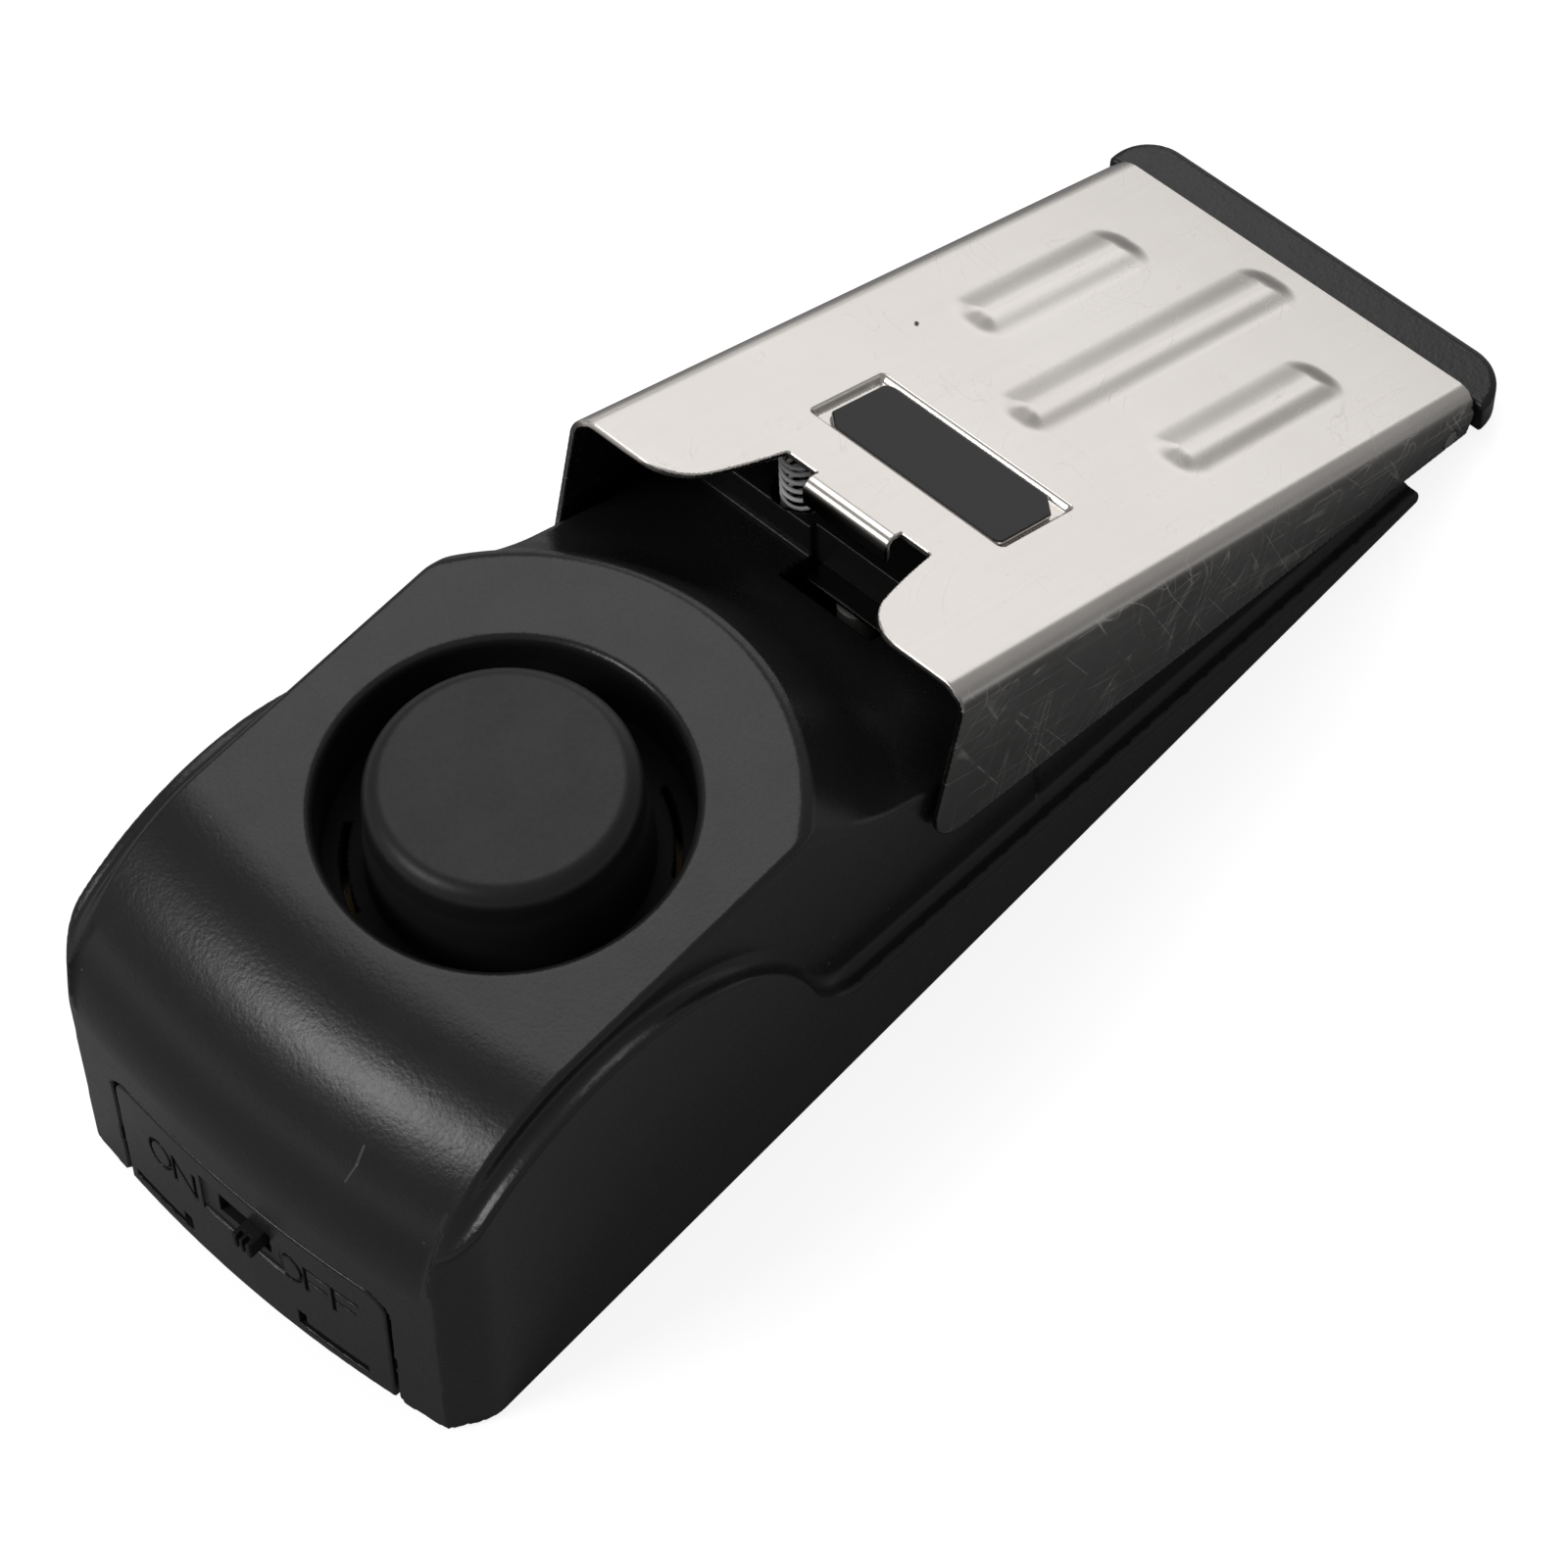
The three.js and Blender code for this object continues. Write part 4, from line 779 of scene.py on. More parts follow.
def along_plate(x, z):
    """How far down the slope and how far above the plate's face."""
    px, pz = x - PLATE_REAR[0], z - PLATE_REAR[1]
    return px * DOWN[0] + pz * DOWN[1], px * OUT[0] + pz * OUT[1]


def on_plate(s, n):
    """The x and z of a place that along_plate gives as s and n."""
    return PLATE_REAR[0] + s * DOWN[0] + n * OUT[0], PLATE_REAR[1] + s * DOWN[1] + n * OUT[1]


def unfold(y, n):
    """Across the blank, and depth in the sheet."""
    a, c = np.abs(y) - PLATE_HALF + FOLD, n + FOLD
    bend = (a > 0) & (c > 0)
    depth = FOLD - np.where(bend, np.hypot(a, c), np.maximum(a, c))
    arc = PLATE_HALF - FOLD + FOLD * np.arctan2(np.maximum(a, 0), np.maximum(c, 1e-9))
    side = PLATE_HALF - FOLD + FOLD * math.pi / 2 - c
    return np.where(bend, arc, np.where(a > c, side, np.abs(y))), depth


# %% Outline of the blank
FLANGE_TILT = (FLANGE[1] - FLANGE_FRONT[1]) / (FLANGE_FRONT[0] - FLANGE[0])


def blank(s, w):
    deep = w - (PLATE_HALF - FOLD) - FOLD * (math.pi / 2 - 1)
    lean, drop, corner = FLANGE
    rear = both(-s, (lean * np.maximum(deep, 0) / drop - s) / math.hypot(1, lean / drop))
    foot = (deep - drop + FLANGE_TILT * (s - lean)) / math.hypot(1, FLANGE_TILT)
    ends = rounded_both(rounded_both(rear, foot, corner), s - PLATE_LENGTH, 0.15)
    cut, inner, outer, reach = NOTCH
    fall = (outer - inner) / reach
    ear = rounded_both(inner - w, (outer - fall * s - w) / math.hypot(1, fall), 6.0)
    ear = rounded_both(-s, ear, reach)
    return both(rounded_either(ear, cut - s, 0.5), ends)


# %% Pressed forms
def smooth_step(v, low, high):
    t = np.clip((v - low) / (high - low), 0, 1)
    return t * t * (3 - 2 * t)


def pressed(s, y):
    """How far the press has moved the sheet outwards."""
    out = 0.0
    for start, end, side in RIBS:
        d = rounded_both(slab(s, start + 0.8, end - 0.8), np.abs(y - side) - RIB_HALF + 0.8, 1.3)
        out = out + RIB_RISE * (1 - smooth_step(d, *RIB_SOFT))
    start, end, half, sunk = LABEL_SEAT
    d = rounded_both(slab(s, start, end), np.abs(y) - half, 0.5)
    return out - sunk * (1 - smooth_step(d, -0.45, 0.15))


# %% The plate with its stop tab
def stop_tab(x, y, s, n, z):
    at, half, bend, low, hook = TAB
    px, pz = on_plate(at, 0)
    cx, cz = px - bend * OUT[0], pz - bend * OUT[1]
    face = cx - bend
    depth = np.where(s > at, -n, np.where(z < cz, x - face, bend - np.hypot(x - cx, z - cz)))
    ends = both(np.abs(y) - half, low - z, s - at - 1.5, x - cx - 3.0)
    strip = rounded_both(slab(depth, 0, SHEET), ends, 0.12)
    return either(strip, block(x, y, z, (face, -half, low), (face + hook, half, low + SHEET), 0.12))


def plate(x, y, z):
    s, n = along_plate(x, z)
    w, depth = unfold(y, n)
    flat = np.abs(y) < PLATE_HALF - FOLD
    depth = depth + np.where(flat & (n > -3), pressed(s, y), 0.0)
    sheet = rounded_both(slab(depth, 0, SHEET), blank(s, w), 0.13)
    px, pz = on_plate(PLATE_LENGTH - PIN[0], -PIN[1])
    return both(either(sheet, stop_tab(x, y, s, n, z)), PIN[2] + PIN[3] - np.hypot(x - px, z - pz))


def in_metres(s, n):
    x, z = on_plate(s, n)
    return to_row((x, 0.0, z))


PLATE = skin("pressure_plate_dressed", plate, (60.0, -PLATE_HALF, 1.0), (135.5, PLATE_HALF, 38.0), 0.2,
             190000)
# The plate's face as a plane; steel lying below it gets painted shade.
FACE_NORMAL = (OUT[0], 0.0, OUT[1])
FACE = float(np.dot(in_metres(0.0, 0.0), FACE_NORMAL))
# The flanges' cut edge as a plane, along which the steel gets a painted highlight.
EDGE_NORMAL = (FLANGE_TILT * DOWN[0] - OUT[0], 0.0, FLANGE_TILT * DOWN[1] - OUT[1])
CUT = (*EDGE_NORMAL, float(np.dot(in_metres(FLANGE[0], -FLANGE[1]), EDGE_NORMAL)))
SPECK = ((28.7, 13.6, 21.9), (29.0, 13.8, 21.8), 0.3)
STEEL = rolled_steel("rolled_steel", SLOPE, FACE, CUT, SPECK)
finish_piece(PLATE, STEEL, "plate", "plate_steel", "pressure_plate")

# %% [markdown]
# ## The label
# A small enamelled tag lies in the pressed seat, two of its corners clipped. It is bare: deep gloss
# over near black, with a bright cut edge.


# %% Label tag
ENAMEL_BAND = (-0.00034, -0.00027)


def label_tag(x, y, z):
    s, n = along_plate(x, z)
    start, end, half, sunk = LABEL_SEAT
    face = rounded_both(slab(s, start + 0.4, end - 0.5), slab(y, -half + 0.6, half - 1.0), 0.8)
    clip_a = (y - s + start - half + 3.0) * math.sqrt(0.5)
    clip_b = (s - y - end - half + 2.9) * math.sqrt(0.5)
    return rounded_both(both(face, clip_a, clip_b), slab(n, -sunk + 0.05, -sunk + 0.5), 0.1)


def enamel(name):
    f = Finish(name, IOR=1.5, Specular_IOR_Level=0.13)
    fine = f.noise(2500.0, 2.0)
    cloudy = f.noise(150.0)
    specks = f.noise(2600.0, 1.0, 0.4).step(0.78, 0.82) * 0.35
    colour = f.blend((cloudy * 0.6 + specks).clear(), grey(0.009), grey(0.03))
    edge = 1 - f.over(FACE_NORMAL, FACE).step(*ENAMEL_BAND)
    colour = f.blend(edge, colour, grey(0.6, 0.03))
    return f.coat(colour, 0.16 + cloudy * 0.08, fine, 0.000002, Metallic=edge)


LABEL = skin("label_tag", label_tag, (78.0, -11.0, 23.0), (92.0, 11.0, 31.0), 0.12, 20000)
finish_piece(LABEL, enamel("black_enamel"), "plate", "label", "label_plate")

# %% [markdown]
# ## The siren cap
# A plug of the same black plastic, a little smoother, stands in the round recess. It is a turned
# form, so its field needs only the distance from its axis and the height.


# %% Siren cap
CAP_RADIUS, CAP_RISE, CAP_DRAFT, CAP_ROUNDING = 10.95, 3.3, 0.07, 1.6


def siren_cap(x, y, z):
    out = from_axis(x, y, SIREN_X)
    top = PLATEAU + CAP_RISE
    side = (out - CAP_RADIUS - (top - z) * CAP_DRAFT) / math.hypot(1, CAP_DRAFT)
    knob = rounded_both(rounded_both(side, z - top, CAP_ROUNDING), RECESS_FLOOR + 0.05 - z, 0.2)
    return either(knob, both(out - 2.7, slab(z, RECESS_FLOOR - 3.6, RECESS_FLOOR + 1.0)))


CAP = skin("siren_cap_dressed", siren_cap, (SIREN_X - 12, -12, 25), (SIREN_X + 12, 12, 40), 0.28, 30000)
# Painted shade on the cap's side, down in the recess.
CAP_BLACK = moulded_black("smooth_black", 0.009, 0.42, 2600.0, 0.000014, 0.3, painted_shade_below(35.2, 37.4))
finish_piece(CAP, CAP_BLACK, "case", "siren_cap", "siren_cap")

# %% [markdown]
# ## The rear panel
# A separate panel closes the back. Its face lies in the same bowed surface as the housing's, and its
# depth is measured from there. ON and OFF are thin engraved strokes, two L-shaped slits free a latch
# on each side, and the lever runs in a slot in the middle of a shallow track.

# %% Letters and slits
LETTER_HEIGHT = 1.8
LETTER_WIDTH = 1.25
LETTER_Z = 10.85
STROKE = (0.19, 0.34)
LETTER_PLACES = (("O", 9.9), ("N", 6.9), ("O", -5.1), ("F", -8.1), ("F", -11.0))
STROKES = {
    "N": (((-1, -1), (-1, 1)), ((-1, 1), (1, -1)), ((1, -1), (1, 1))),
    "F": (((-1, -1), (-1, 1)), ((-1, 1), (1, 1)), ((-1, 0.05), (0.7, 0.05))),
}
SWITCH_Z = 11.8
TRACK = (-4.4, 4.8, 8.7, 13.9)
TRACK_DEPTH = 0.28
LEVER_SLOT = (-2.8, 2.9, 10.2, 13.0)
SLITS = ((1, 7.0, 14.2), (-1, 5.3, 12.6))
SLIT_Z = (1.6, 2.75, 4.0)
SLIT_WIDTH = 0.9


def letters(y, z):
    """Distance in the panel's face from the strokes of ON and OFF."""
    best = 99.0
    for letter, at in LETTER_PLACES:
        u, v = at - y, z - LETTER_Z
        if letter == "O":
            out = np.hypot(u / LETTER_WIDTH, v / LETTER_HEIGHT)
            d = np.abs(out - 1) * (LETTER_WIDTH + LETTER_HEIGHT) / 2
        else:
            ends = [[(c[0] * LETTER_WIDTH, c[1] * LETTER_HEIGHT) for c in line] for line in STROKES[letter]]
            d = either(*[stroke(u, v, *line) for line in ends])
        best = either(best, d)
    return best


# %% Rear panel
def rear_panel(x, y, z):
    def frame_of(gap, low, high):
        return both(panel_shape(y, z, gap), slab(deep, low, high))

    def opening(sizes):
        return both(slab(y, *sizes[:2]), slab(z, *sizes[2:]))

    deep = x - LEAN * z - y * y / (2 * BOW)
    face = both(panel_shape(y, z, 0.0), PANEL[3] - z)
    body = rounded_both(rounded_both(-deep, face, 0.22), deep - 2.0, 0.1)
    lip = either(frame_of(1.2, 2.25, 3.25), frame_of(-0.3, 1.0, 3.25))
    lip = both(lip, -panel_shape(y, z, -1.2), 2.35 - z)
    cut = either(rounded_both(opening(TRACK), deep - TRACK_DEPTH, 0.2), opening(LEVER_SLOT))
    for side, inner, outer in SLITS:
        foot = both(slab(side * y, inner, outer), slab(z, *SLIT_Z[:2]))
        end = both(slab(side * y, inner, inner + SLIT_WIDTH), slab(z, SLIT_Z[0], SLIT_Z[2]))
        cut = either(cut, foot, end)
    engraved = rounded_both(letters(y, z) - STROKE[0], deep - STROKE[1], 0.08)
    return rounded_both(either(body, lip), -either(cut, engraved), 0.08)


REAR = skin("rear_panel_dressed", rear_panel, (-0.5, -16.6, 0.0), (5.2, 16.6, 17.9), 0.13, 90000)
finish_piece(REAR, moulded_black("panel_black"), "case", "housing", "rear_panel")


# %% Switch lever
LEVER_Y = -1.3
LEVER_TIP = LEAN * SWITCH_Z - 1.4


def lever(x, y, z):
    low, high = (LEVER_TIP, LEVER_Y - 1.0, SWITCH_Z - 1.0), (4.6, LEVER_Y + 1.0, SWITCH_Z + 1.0)
    stem = block(x, y, z, low, high, 0.12)
    for ridge in (-0.35, 0.35):
        groove = both(np.abs(y - LEVER_Y - ridge) - 0.19, x - LEVER_TIP - 0.8)
        stem = rounded_both(stem, -groove, 0.05)
    return stem


LEVER = skin("switch_lever", lever, (-1.8, -3.0, 10.4), (5.0, 0.0, 13.2), 0.08, 20000)
finish_piece(LEVER, moulded_black("lever_black", 0.006, 0.6), "slider", "switch_knob", "switch_knob")

# %% [markdown]
# ## The underside
# A flat cover closes the moulding below. A door with finger grooves opens the battery bay, and two
# foam rubber pads grip the floor. Each is drawn again as a few boxes with a small radius: the mould
# gives every outer edge one, and light shows it as a line.

# %% Sizes of the underside
COVER = (3.0, 122.1, 17.75, 2.0)
DOOR = (8.5, 61.5, 14.4)
DOOR_ROOM = 0.3
GRIPS = (9.7, 12.1, 14.5, 16.9)
REAR_PAD = (20.8, 58.5, 11.4)
FRONT_PAD = (84.0, 119.0, 12.5)
PAD_CORNER = 2.5
PAD_FOOT = -0.4
COVER_SCREWS = (66.0, 118.6, 14.6)
BOARD_SCREWS = (103.5, 13.0)


# %% Battery door
def plan_of(x, y, sizes, grown, corner):
    start, end, half = sizes
    return rounded_both(slab(x, start - grown, end + grown), np.abs(y) - half - grown, corner)


def pocket_for(x, y, z, pad):
    return both(plan_of(x, y, pad, 0.05, PAD_CORNER), z - 1.0)


def battery_door(x, y, z):
    plate_form = rounded_both(plan_of(x, y, DOOR, 0.0, 0.3), slab(z, 0.0, COVER[3]), 0.25)
    grips = [block(x, y, z, (at, -5.0, -2.0), (at + 1.2, 5.0, 0.8), 0.3) for at in GRIPS]
    return rounded_both(plate_form, -either(pocket_for(x, y, z, REAR_PAD), *grips), 0.12)


DOOR_PIECE = skin("battery_door_dressed", battery_door, (8.0, -15.0, -0.2), (62.0, 15.0, 2.2), 0.24, 40000)
finish_piece(DOOR_PIECE, moulded_black("door_black"), "door", "base_cover", "battery_door")


# %% Base cover
def base_cover(x, y, z):
    start, end, half, thick = COVER
    flat = rounded_both(rounded_both(slab(x, start, end), np.abs(y) - half, 0.3), slab(z, 0.0, thick), 0.25)
    ledge = both(plan_of(x, y, DOOR, 1.3, 0.3), slab(z, 1.0, 3.05))
    ribs = both(slab(x, *DOOR[:2]), slab(np.abs(y), DOOR[2] + 0.3, DOOR[2] + 1.3), slab(z, 1.0, 10.0))
    board = from_axis(x, y, *BOARD_SCREWS)
    posts = both(board - 2.4, slab(z, 1.0, 3.35))
    seat = both(plan_of(x, y, DOOR, DOOR_ROOM, 0.3), z - 2.05)
    bay = both(plan_of(x, y, DOOR, -0.9, 0.3), z - 12.0)
    holes = [pocket_for(x, y, z, FRONT_PAD), both(board - 1.25, 1.95 - z)]
    for at in COVER_SCREWS[:2]:
        out = from_axis(x, y, at, COVER_SCREWS[2])
        holes += [out - 1.5, both(out - 2.8, z - 1.3)]
    return rounded_both(either(flat, ledge, ribs, posts), -either(seat, bay, *holes), 0.12)


COVER_PIECE = skin("base_cover_dressed", base_cover, (2.5, -18.0, -0.2), (122.6, 18.0, 10.2), 0.3, 90000)
finish_piece(COVER_PIECE, moulded_black("cover_black"), "case", "base_cover", "base_cover")


# %% Grip pads
def grip_pad(sizes):
    def pad(x, y, z):
        return rounded_both(plan_of(x, y, sizes, 0.0, PAD_CORNER), slab(z, PAD_FOOT, 0.95), 0.3)
    return pad


for name, sizes, body in (("rear", REAR_PAD, "door"), ("front", FRONT_PAD, "case")):
    low, high = (sizes[0] - 1, -sizes[2] - 1, -0.6), (sizes[1] + 1, sizes[2] + 1, 1.2)
    made = skin("pad_" + name, grip_pad(sizes), low, high, 0.24, 20000)
    finish_piece(made, foam_rubber("foam_" + name), body, "pad_rubber", "grip_pad_" + name)

# %% [markdown]
# ## The battery
# A nine volt block is a folded steel can, so its long edges are round and a rim runs round each end.
# The printed jacket is left bare in two tones. One terminal is a plain stud, the other a wider cup.


# %% Battery
BATTERY_Z = 11.0
TERMINAL_Y = 6.35
COPPER_BAND, STEEL_BAND = (-0.0255, -0.0254), (-0.0127, -0.0126)


def battery(x, y, z):
    can = block(x, y, z, (10.6, -13.1, 2.3), (56.6, 13.1, 19.7), 1.6)
    rim = both(block(x, y, z, (10.0, -12.5, 2.9), (57.2, 12.5, 19.1), 1.2), -slab(x, 11.2, 56.0))
    can = both(can, -both(-rim, slab(x, 55.9, 57.0)))
    end = slab(x, 56.0, 59.0)
    stud = both(np.hypot(y + TERMINAL_Y, z - BATTERY_Z) - 2.7, end)
    out = np.hypot(y - TERMINAL_Y, z - BATTERY_Z)
    cup = both(rounded_both(out - 2.8, end, 0.3), -both(out - 2.1, 57.0 - x))
    return either(can, stud, cup)


def jacket(name):
    f = Finish(name, Metallic=1.0, Coat_Weight=0.4, Coat_Roughness=0.15)
    along = f.part("X")
    cloudy = f.noise(160.0)
    colour = f.blend(cloudy, grey(0.018), grey(0.03))
    copper = f.blend(cloudy, (0.50, 0.24, 0.10, 1.0), (0.60, 0.30, 0.13, 1.0))
    steel = f.blend(cloudy, grey(0.45), grey(0.6))
    for band, tone in ((COPPER_BAND, copper), (STEEL_BAND, steel)):
        colour = f.blend(along.step(*band), colour, tone)
    return f.coat(colour, 0.30 + cloudy * 0.1, f.noise(1200.0), 0.000004)


BATTERY = skin("battery_block", battery, (10.0, -13.5, 2.0), (59.5, 13.5, 20.0), 0.35, 40000)
finish_piece(BATTERY, jacket("battery_jacket"), "case", "battery_can", "battery")

# %% [markdown]
# ## Springs and screws
# These are made by rule: a spring is one wire along a path whose first and last turns lie close, and
# the four cover screws are one screw in four places, each stopped at its own turn. A Geometry Nodes
# tree says exactly that, and its few inputs are the sizes that a drawing would give.


# %% Recipes
class Recipe(Nodes):
    """A Geometry Nodes tree with named inputs."""

    kinds = {int: "NodeSocketInt", float: "NodeSocketFloat", bpy.types.Material: "NodeSocketMaterial"}

    def __init__(self, name, **values):
        self.tree = bpy.data.node_groups.new(name, "GeometryNodeTree")
        self.values = values
        self.tree.interface.new_socket("Geometry", in_out="OUTPUT", socket_type="NodeSocketGeometry")
        for key, value in values.items():
            self.tree.interface.new_socket(key, in_out="INPUT", socket_type=self.kinds[type(value)])
        self.start = self.tree.nodes.new("NodeGroupInput")

    def input(self, key):
        return Signal(self, self.start.outputs[key])

    def shape(self, kind, *values, **named):
        return self.node("GeometryNode" + kind, *values, **named)

    def point(self, x, y, z):
        return self.node("ShaderNodeCombineXYZ", x, y, z)

    def moved(self, shape, place):
        return self.shape("Transform", Geometry=shape, Translation=place)

    def coil(self, radius, resolution, rotations, height):
        return self.shape("CurveSpiral", Resolution=resolution, Rotations=rotations, Start_Radius=radius,
                          End_Radius=radius, Height=height)

    def wire(self, path, radius, resolution):
        """A round bar along a path."""
        ring = self.shape("CurvePrimitiveCircle", Resolution=resolution, Radius=radius)
        return self.shape("CurveToMesh", Curve=path, Profile_Curve=ring, Fill_Caps=True)

    def join(self, *parts):
        made = self.tree.nodes.new("GeometryNodeJoinGeometry")
        for part in parts:
            self.feed(made.inputs[0], part)
        return Signal(self, made.outputs[0])

    def boolean(self, operation, **meshes):
        return self.shape("MeshBoolean", operation=operation, solver="EXACT", **meshes)

    def piece(self, name, shape):
        """The tree's shape as a plain mesh object."""
        shape = self.shape("RealizeInstances", shape)
        shape = self.shape("SetShadeSmooth", Geometry=shape, Shade_Smooth=True)
        shape = self.shape("SetMaterial", Geometry=shape, Material=self.input("Finish"))
        self.feed(self.tree.nodes.new("NodeGroupOutput").inputs[0], shape)
        made = link(bpy.data.meshes.new(name), name)
        modifier = made.modifiers.new(name, "NODES")
        modifier.node_group = self.tree
        sockets = {s.name: s.identifier for s in self.tree.interface.items_tree if s.in_out == "INPUT"}
        for key, value in self.values.items():
            modifier[sockets[key]] = value
        print(name, "made by rule:", triangles(settled(made)), "triangles")
        return made


# %% Springs
SPRING_TOP, SPRING_RADIUS, SPRING_WIRE = 29.2, 1.8, 0.2


def sides_of(name):
    return name + "_left", name + "_right"


def wound_springs(finish):
    x, side, _, foot = WELL
    r = Recipe("wound_spring", Turns=9.0, Radius=(SPRING_RADIUS - SPRING_WIRE) * MM,
               Height=(SPRING_TOP - foot - 2 * SPRING_WIRE) * MM, Wire=SPRING_WIRE * MM, Side=side * MM,
               Finish=finish)
    turns, high, thick = r.input("Turns"), r.input("Height"), r.input("Wire")
    along = r.shape("SplineParameter", out="Factor")
    share = 1.0 / turns

    def climb(start, end, rise):
        return r.node("ShaderNodeMapRange", Value=along, From_Min=start, From_Max=end, To_Max=rise)

    close = thick * 2.15
    level = climb(0.0, share, close) + climb(share, 1.0 - share, high - close * 2.0)
    level = level + climb(1.0 - share, 1.0, close)
    path = r.shape("SetPosition", Geometry=r.coil(r.input("Radius"), 26, turns, 0.0),
                   Offset=r.point(0.0, 0.0, level))
    place = to_row((x, 0.0, foot + SPRING_WIRE)).tolist()
    seats = r.shape("MeshLine", Count=2, Start_Location=r.point(place[0], 0.0 - r.input("Side"), place[2]),
                    Offset=r.point(0.0, r.input("Side") * 2.0, 0.0))
    spring = r.wire(path, thick, 10)
    return r.piece("plate_springs", r.shape("InstanceOnPoints", Points=seats, Instance=spring))


# Painted shade: the wire's colour is darkened for the dark well under the plate where it stands.
SPRINGS = wound_springs(plain_metal("spring_wire", (0.12, 0.115, 0.11), 0.2))
finish_piece(SPRINGS, SPRINGS.data.materials[0], "case", "spring_steel", *sides_of("plate_spring"))
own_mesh(SPRINGS)


# %% Cover screws
def cover_screws(finish):
    r = Recipe("pan_head_screw", Head=2.5 * MM, Head_Height=1.3 * MM, Shank=1.2 * MM, Length=7.0 * MM,
               Cross=0.62 * MM, Seed=7, Finish=finish)
    head, high, shank, long = (r.input(k) for k in ("Head", "Head_Height", "Shank", "Length"))
    body = r.shape("MeshCone", Vertices=48, Side_Segments=1, Radius_Top=head, Radius_Bottom=head * 0.82,
                   Depth=high * 0.35)
    rim = r.shape("MeshCylinder", Vertices=48, Radius=head, Depth=high * 0.66)
    rim = r.moved(rim, r.point(0.0, 0.0, high * 0.67))
    stem = r.shape("MeshCylinder", Vertices=32, Radius=shank * 0.8, Depth=long - high)
    stem = r.moved(stem, r.point(0.0, 0.0, (long + high) * 0.5 - 0.1 * MM))
    solid = r.boolean("UNION", Mesh_2=r.join(body, rim, stem))
    arm = r.shape("MeshCube", Size=r.point(head * 1.1, r.input("Cross"), high * 1.3))
    turned = r.shape("Transform", Geometry=arm, Rotation=(0.0, 0.0, math.pi / 2))
    solid = r.boolean("DIFFERENCE", Mesh_1=solid, Mesh_2=r.boolean("UNION", Mesh_2=r.join(arm, turned)))
    path = r.moved(r.coil(shank * 0.82, 24, 5.0, (long - high) * 0.8), r.point(0.0, 0.0, high * 1.25))
    screw = r.join(solid, r.wire(path, shank * 0.17, 4))
    rear, front, side = COVER_SCREWS
    seats = r.shape("MeshGrid", Size_X=(front - rear) * MM, Size_Y=side * 2 * MM, Vertices_X=2, Vertices_Y=2)
    seats = r.moved(seats, to_row(((rear + front) / 2, 0.0, 0.05)).tolist())
    turn = r.node("FunctionNodeRandomValue", data_type="FLOAT_VECTOR", Min=(0.0, 0.0, 0.0),
                  Max=(0.0, 0.0, math.pi / 2), Seed=r.input("Seed"))
    return r.piece("cover_screws", r.shape("InstanceOnPoints", Points=seats, Instance=screw, Rotation=turn))


SCREWS = cover_screws(plain_metal("zinc", (0.55, 0.55, 0.53), 0.32))
finish_piece(SCREWS, SCREWS.data.materials[0], "case", "screw_steel",
             *sides_of("cover_screw_rear"), *sides_of("cover_screw_front"))

# %% [markdown]
# ## What stays as it was packed
# Inside the shell the imported shapes are right as they are: a disc, a board, leads, a chip. They only
# get their finishes, so that an opened view shows brass as brass, painted dark as shade since it lies
# in the dark behind the sound slots, and the board as green.

# %% Finishes of the inner pieces
INNER = {
    # Painted shade: the brass is painted dark, as it lies in the dark behind the sound slots.
    "piezo_disc": plain_metal("brass_painted_dark", (0.11, 0.08, 0.035), 0.6),
    "piezo_ceramic": tinted("fired_ceramic", (0.74, 0.71, 0.62), 0.35),
    "piezo_retainer": moulded_black("ring_black"),
    "hinge_pin": plain_metal("drawn_wire", (0.50, 0.50, 0.49), 0.28),
    "slide_switch": plain_metal("tinned_shell", (0.52, 0.52, 0.50), 0.36),
    "snap_connector": moulded_black("snap_black", 0.02, 0.5),
    "circuit_board": solder_mask("board_green"),
    "trip_switch": moulded_black("switch_black", 0.02, 0.4),
    "trip_plunger": tinted("acetal", (0.66, 0.65, 0.60), 0.4),
    "control_chip": moulded_black("chip_black", 0.018, 0.42),
    "boost_coil": tinted("shrink_sleeve", (0.03, 0.03, 0.032), 0.45),
}
INNER.update(dict.fromkeys(sides_of("board_screw"), plain_metal("board_zinc", (0.5, 0.5, 0.48), 0.34)))
for lead in ("battery", "siren"):
    INNER[lead + "_lead_red"] = tinted(lead + "_red", (0.42, 0.02, 0.016), 0.42)
    INNER[lead + "_lead_black"] = tinted(lead + "_black", (0.014, 0.014, 0.015), 0.42)
for name, material in INNER.items():
    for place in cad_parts[name].material_slots:
        place.material = material
print(len(INNER), "inner pieces finished")

# %% [markdown]
# ## Floor and light
# Black plastic and steel show mostly what they mirror, so each lamp stands where one face mirrors it:
# a wide one low over the toe for the sloping plate, one high on the left for the flat top, and a
# small strong one behind for the band of light on the rolled edge. The world adds a soft even light.
# The camera sees world and floor as white. Mirrored rays see the floor's glow only away from the
# alarm, so near it they meet a painted shade as well as the floor's own shadow, and faces close to
# the floor stay dark.


# %% Floor
FLOOR_HALF = 3.0


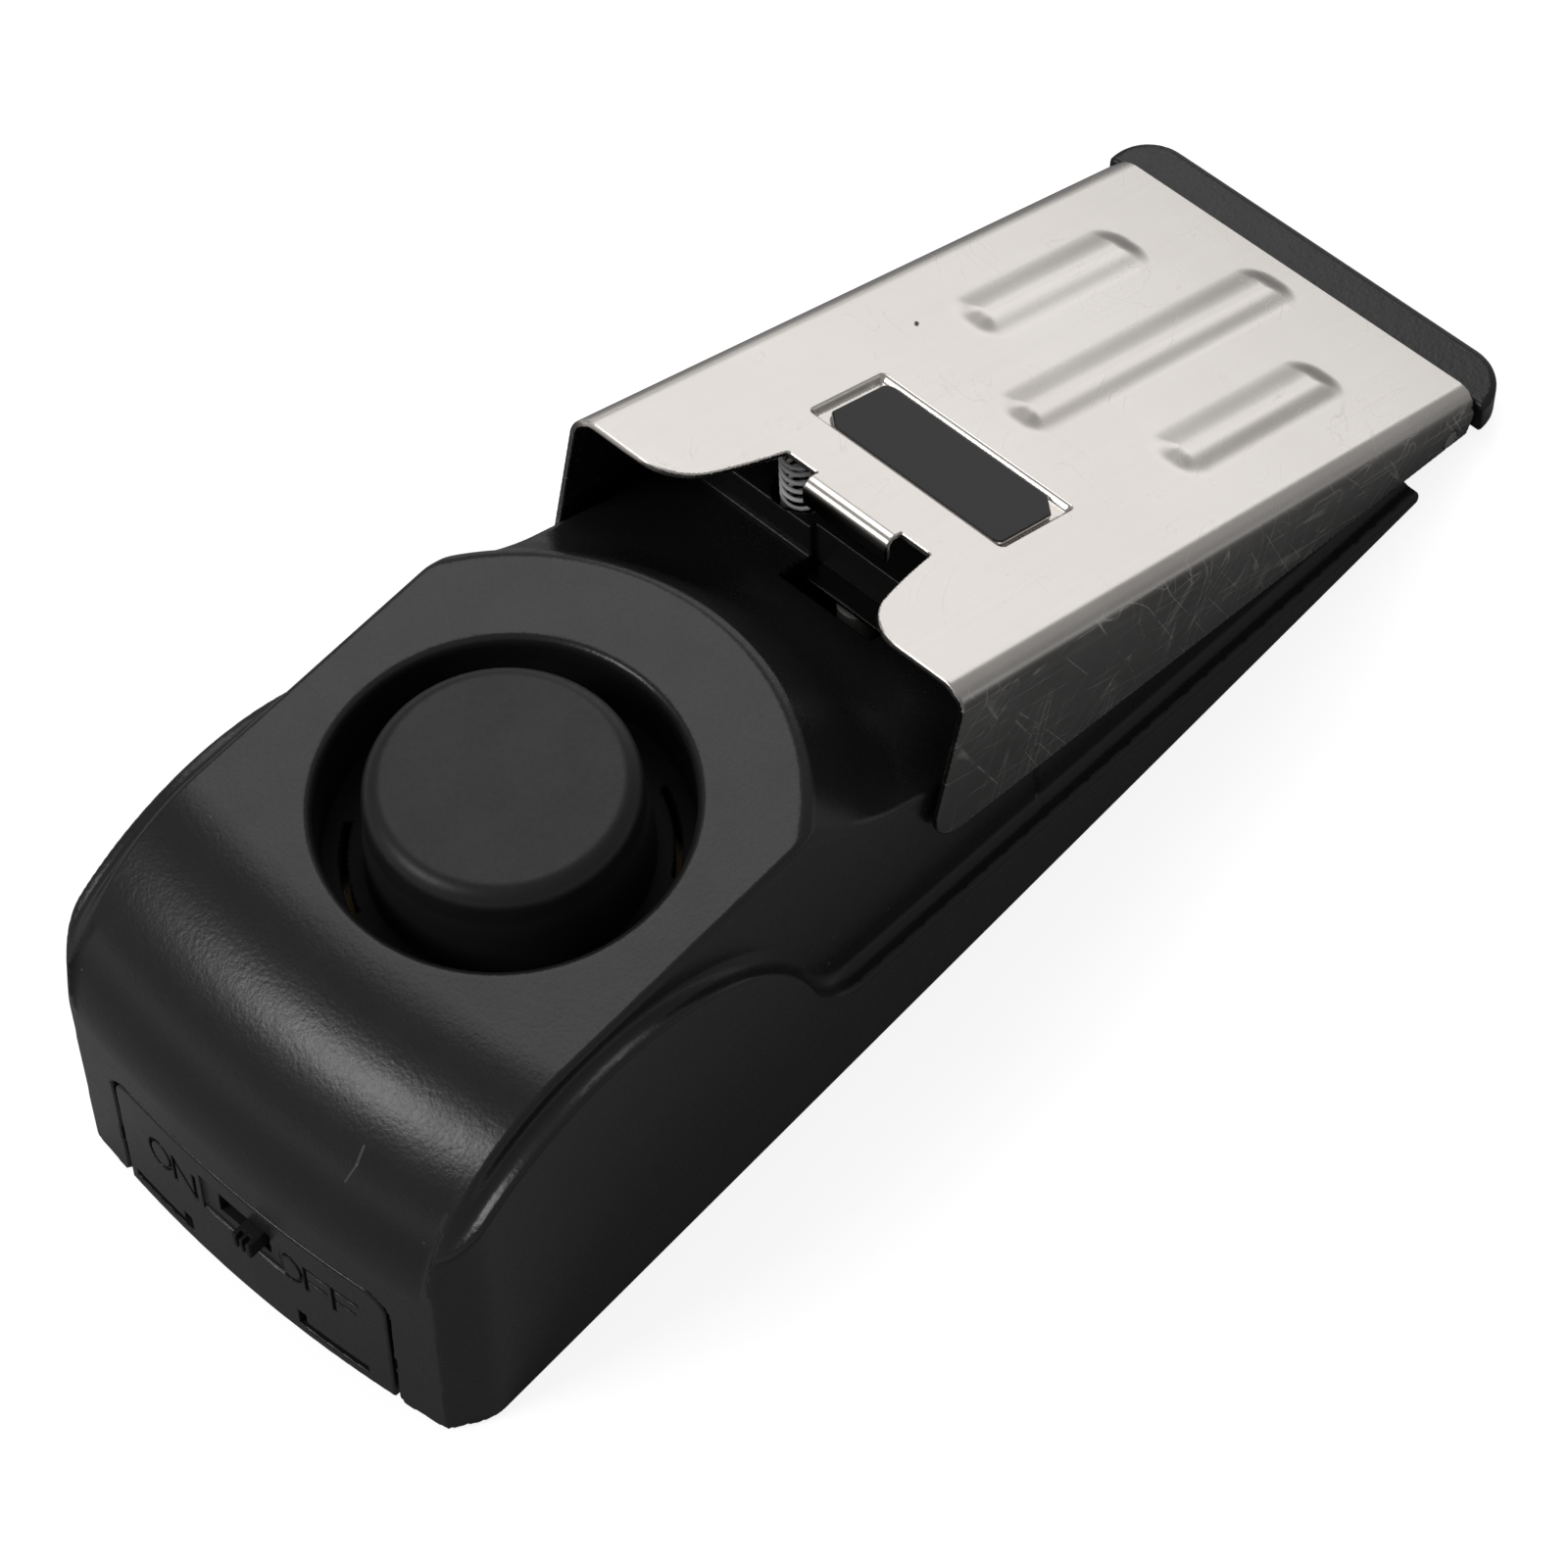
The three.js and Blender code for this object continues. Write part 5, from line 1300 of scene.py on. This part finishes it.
def make_floor():
    mesh = bpy.data.meshes.new("floor")
    corners = [(FLOOR_HALF * i, FLOOR_HALF * j, 0) for i, j in ((-1, -1), (1, -1), (1, 1), (-1, 1))]
    mesh.from_pydata(corners, [], [(0, 1, 2, 3)])
    floor = link(mesh, "floor")
    f = Finish("pale_floor", Roughness=0.9, Emission_Strength=0.85)
    viewer, mirrors, glass = (f.node("ShaderNodeLightPath", out="Is " + kind + " Ray")
                              for kind in ("Camera", "Glossy", "Transmission"))
    # Painted shade: mirrored rays see the floor's glow only away from the alarm, so near it the floor
    # mirrors dark.
    away = f.vector("LENGTH", f.place).step(0.14, 0.40)
    glow = f.blend((viewer + (mirrors + glass) * away).clear(), grey(0.0), grey(1.0))
    colour = f.blend(f.noise(3.0), grey(0.29), grey(0.31))
    floor.data.materials.append(f.set(Base_Color=colour, Emission_Color=glow))
    floor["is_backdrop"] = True


# %% Lamps
LAMP_AIM = Vector((0, 0, 0.02))


def make_lamp(name, place, size, radiance):
    """A soft lamp aimed at the alarm. The radiance is what a mirror would show of it, 1 being white."""
    data = bpy.data.lights.new(name, "AREA")
    data.shape = "RECTANGLE"
    data.size, data.size_y = size
    data.energy = radiance * math.pi * size[0] * size[1]
    lamp = link(data, name)
    lamp.location = place
    lamp.rotation_euler = (LAMP_AIM - lamp.location).to_track_quat("-Z", "Y").to_euler()


def make_world():
    """A soft even light, which only the camera sees as white."""
    world = bpy.data.worlds.new("studio")
    world.use_nodes = True
    nodes, links = world.node_tree.nodes, world.node_tree.links
    sky = nodes["Background"]
    sky.inputs["Color"].default_value = grey(1.0)
    strength = nodes.new("ShaderNodeMapRange")
    strength.inputs["To Min"].default_value = 0.35
    links.new(nodes.new("ShaderNodeLightPath").outputs["Is Camera Ray"], strength.inputs["Value"])
    links.new(strength.outputs[0], sky.inputs["Strength"])
    bpy.context.scene.world = world


make_floor()
make_lamp("over_the_toe", (0.82, 0.34, 0.27), (0.55, 0.40), 1.0)
make_lamp("over_the_middle", (0.315, 0.375, 0.755), (0.50, 0.50), 2.6)
make_lamp("behind", (-0.550, 0.225, 0.535), (0.20, 0.24), 14.0)
make_world()
bpy.context.scene.view_settings.view_transform = "Standard"
print("floor and", len(bpy.data.lights), "lamps")

# %% Bounds of what is drawn
low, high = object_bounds()
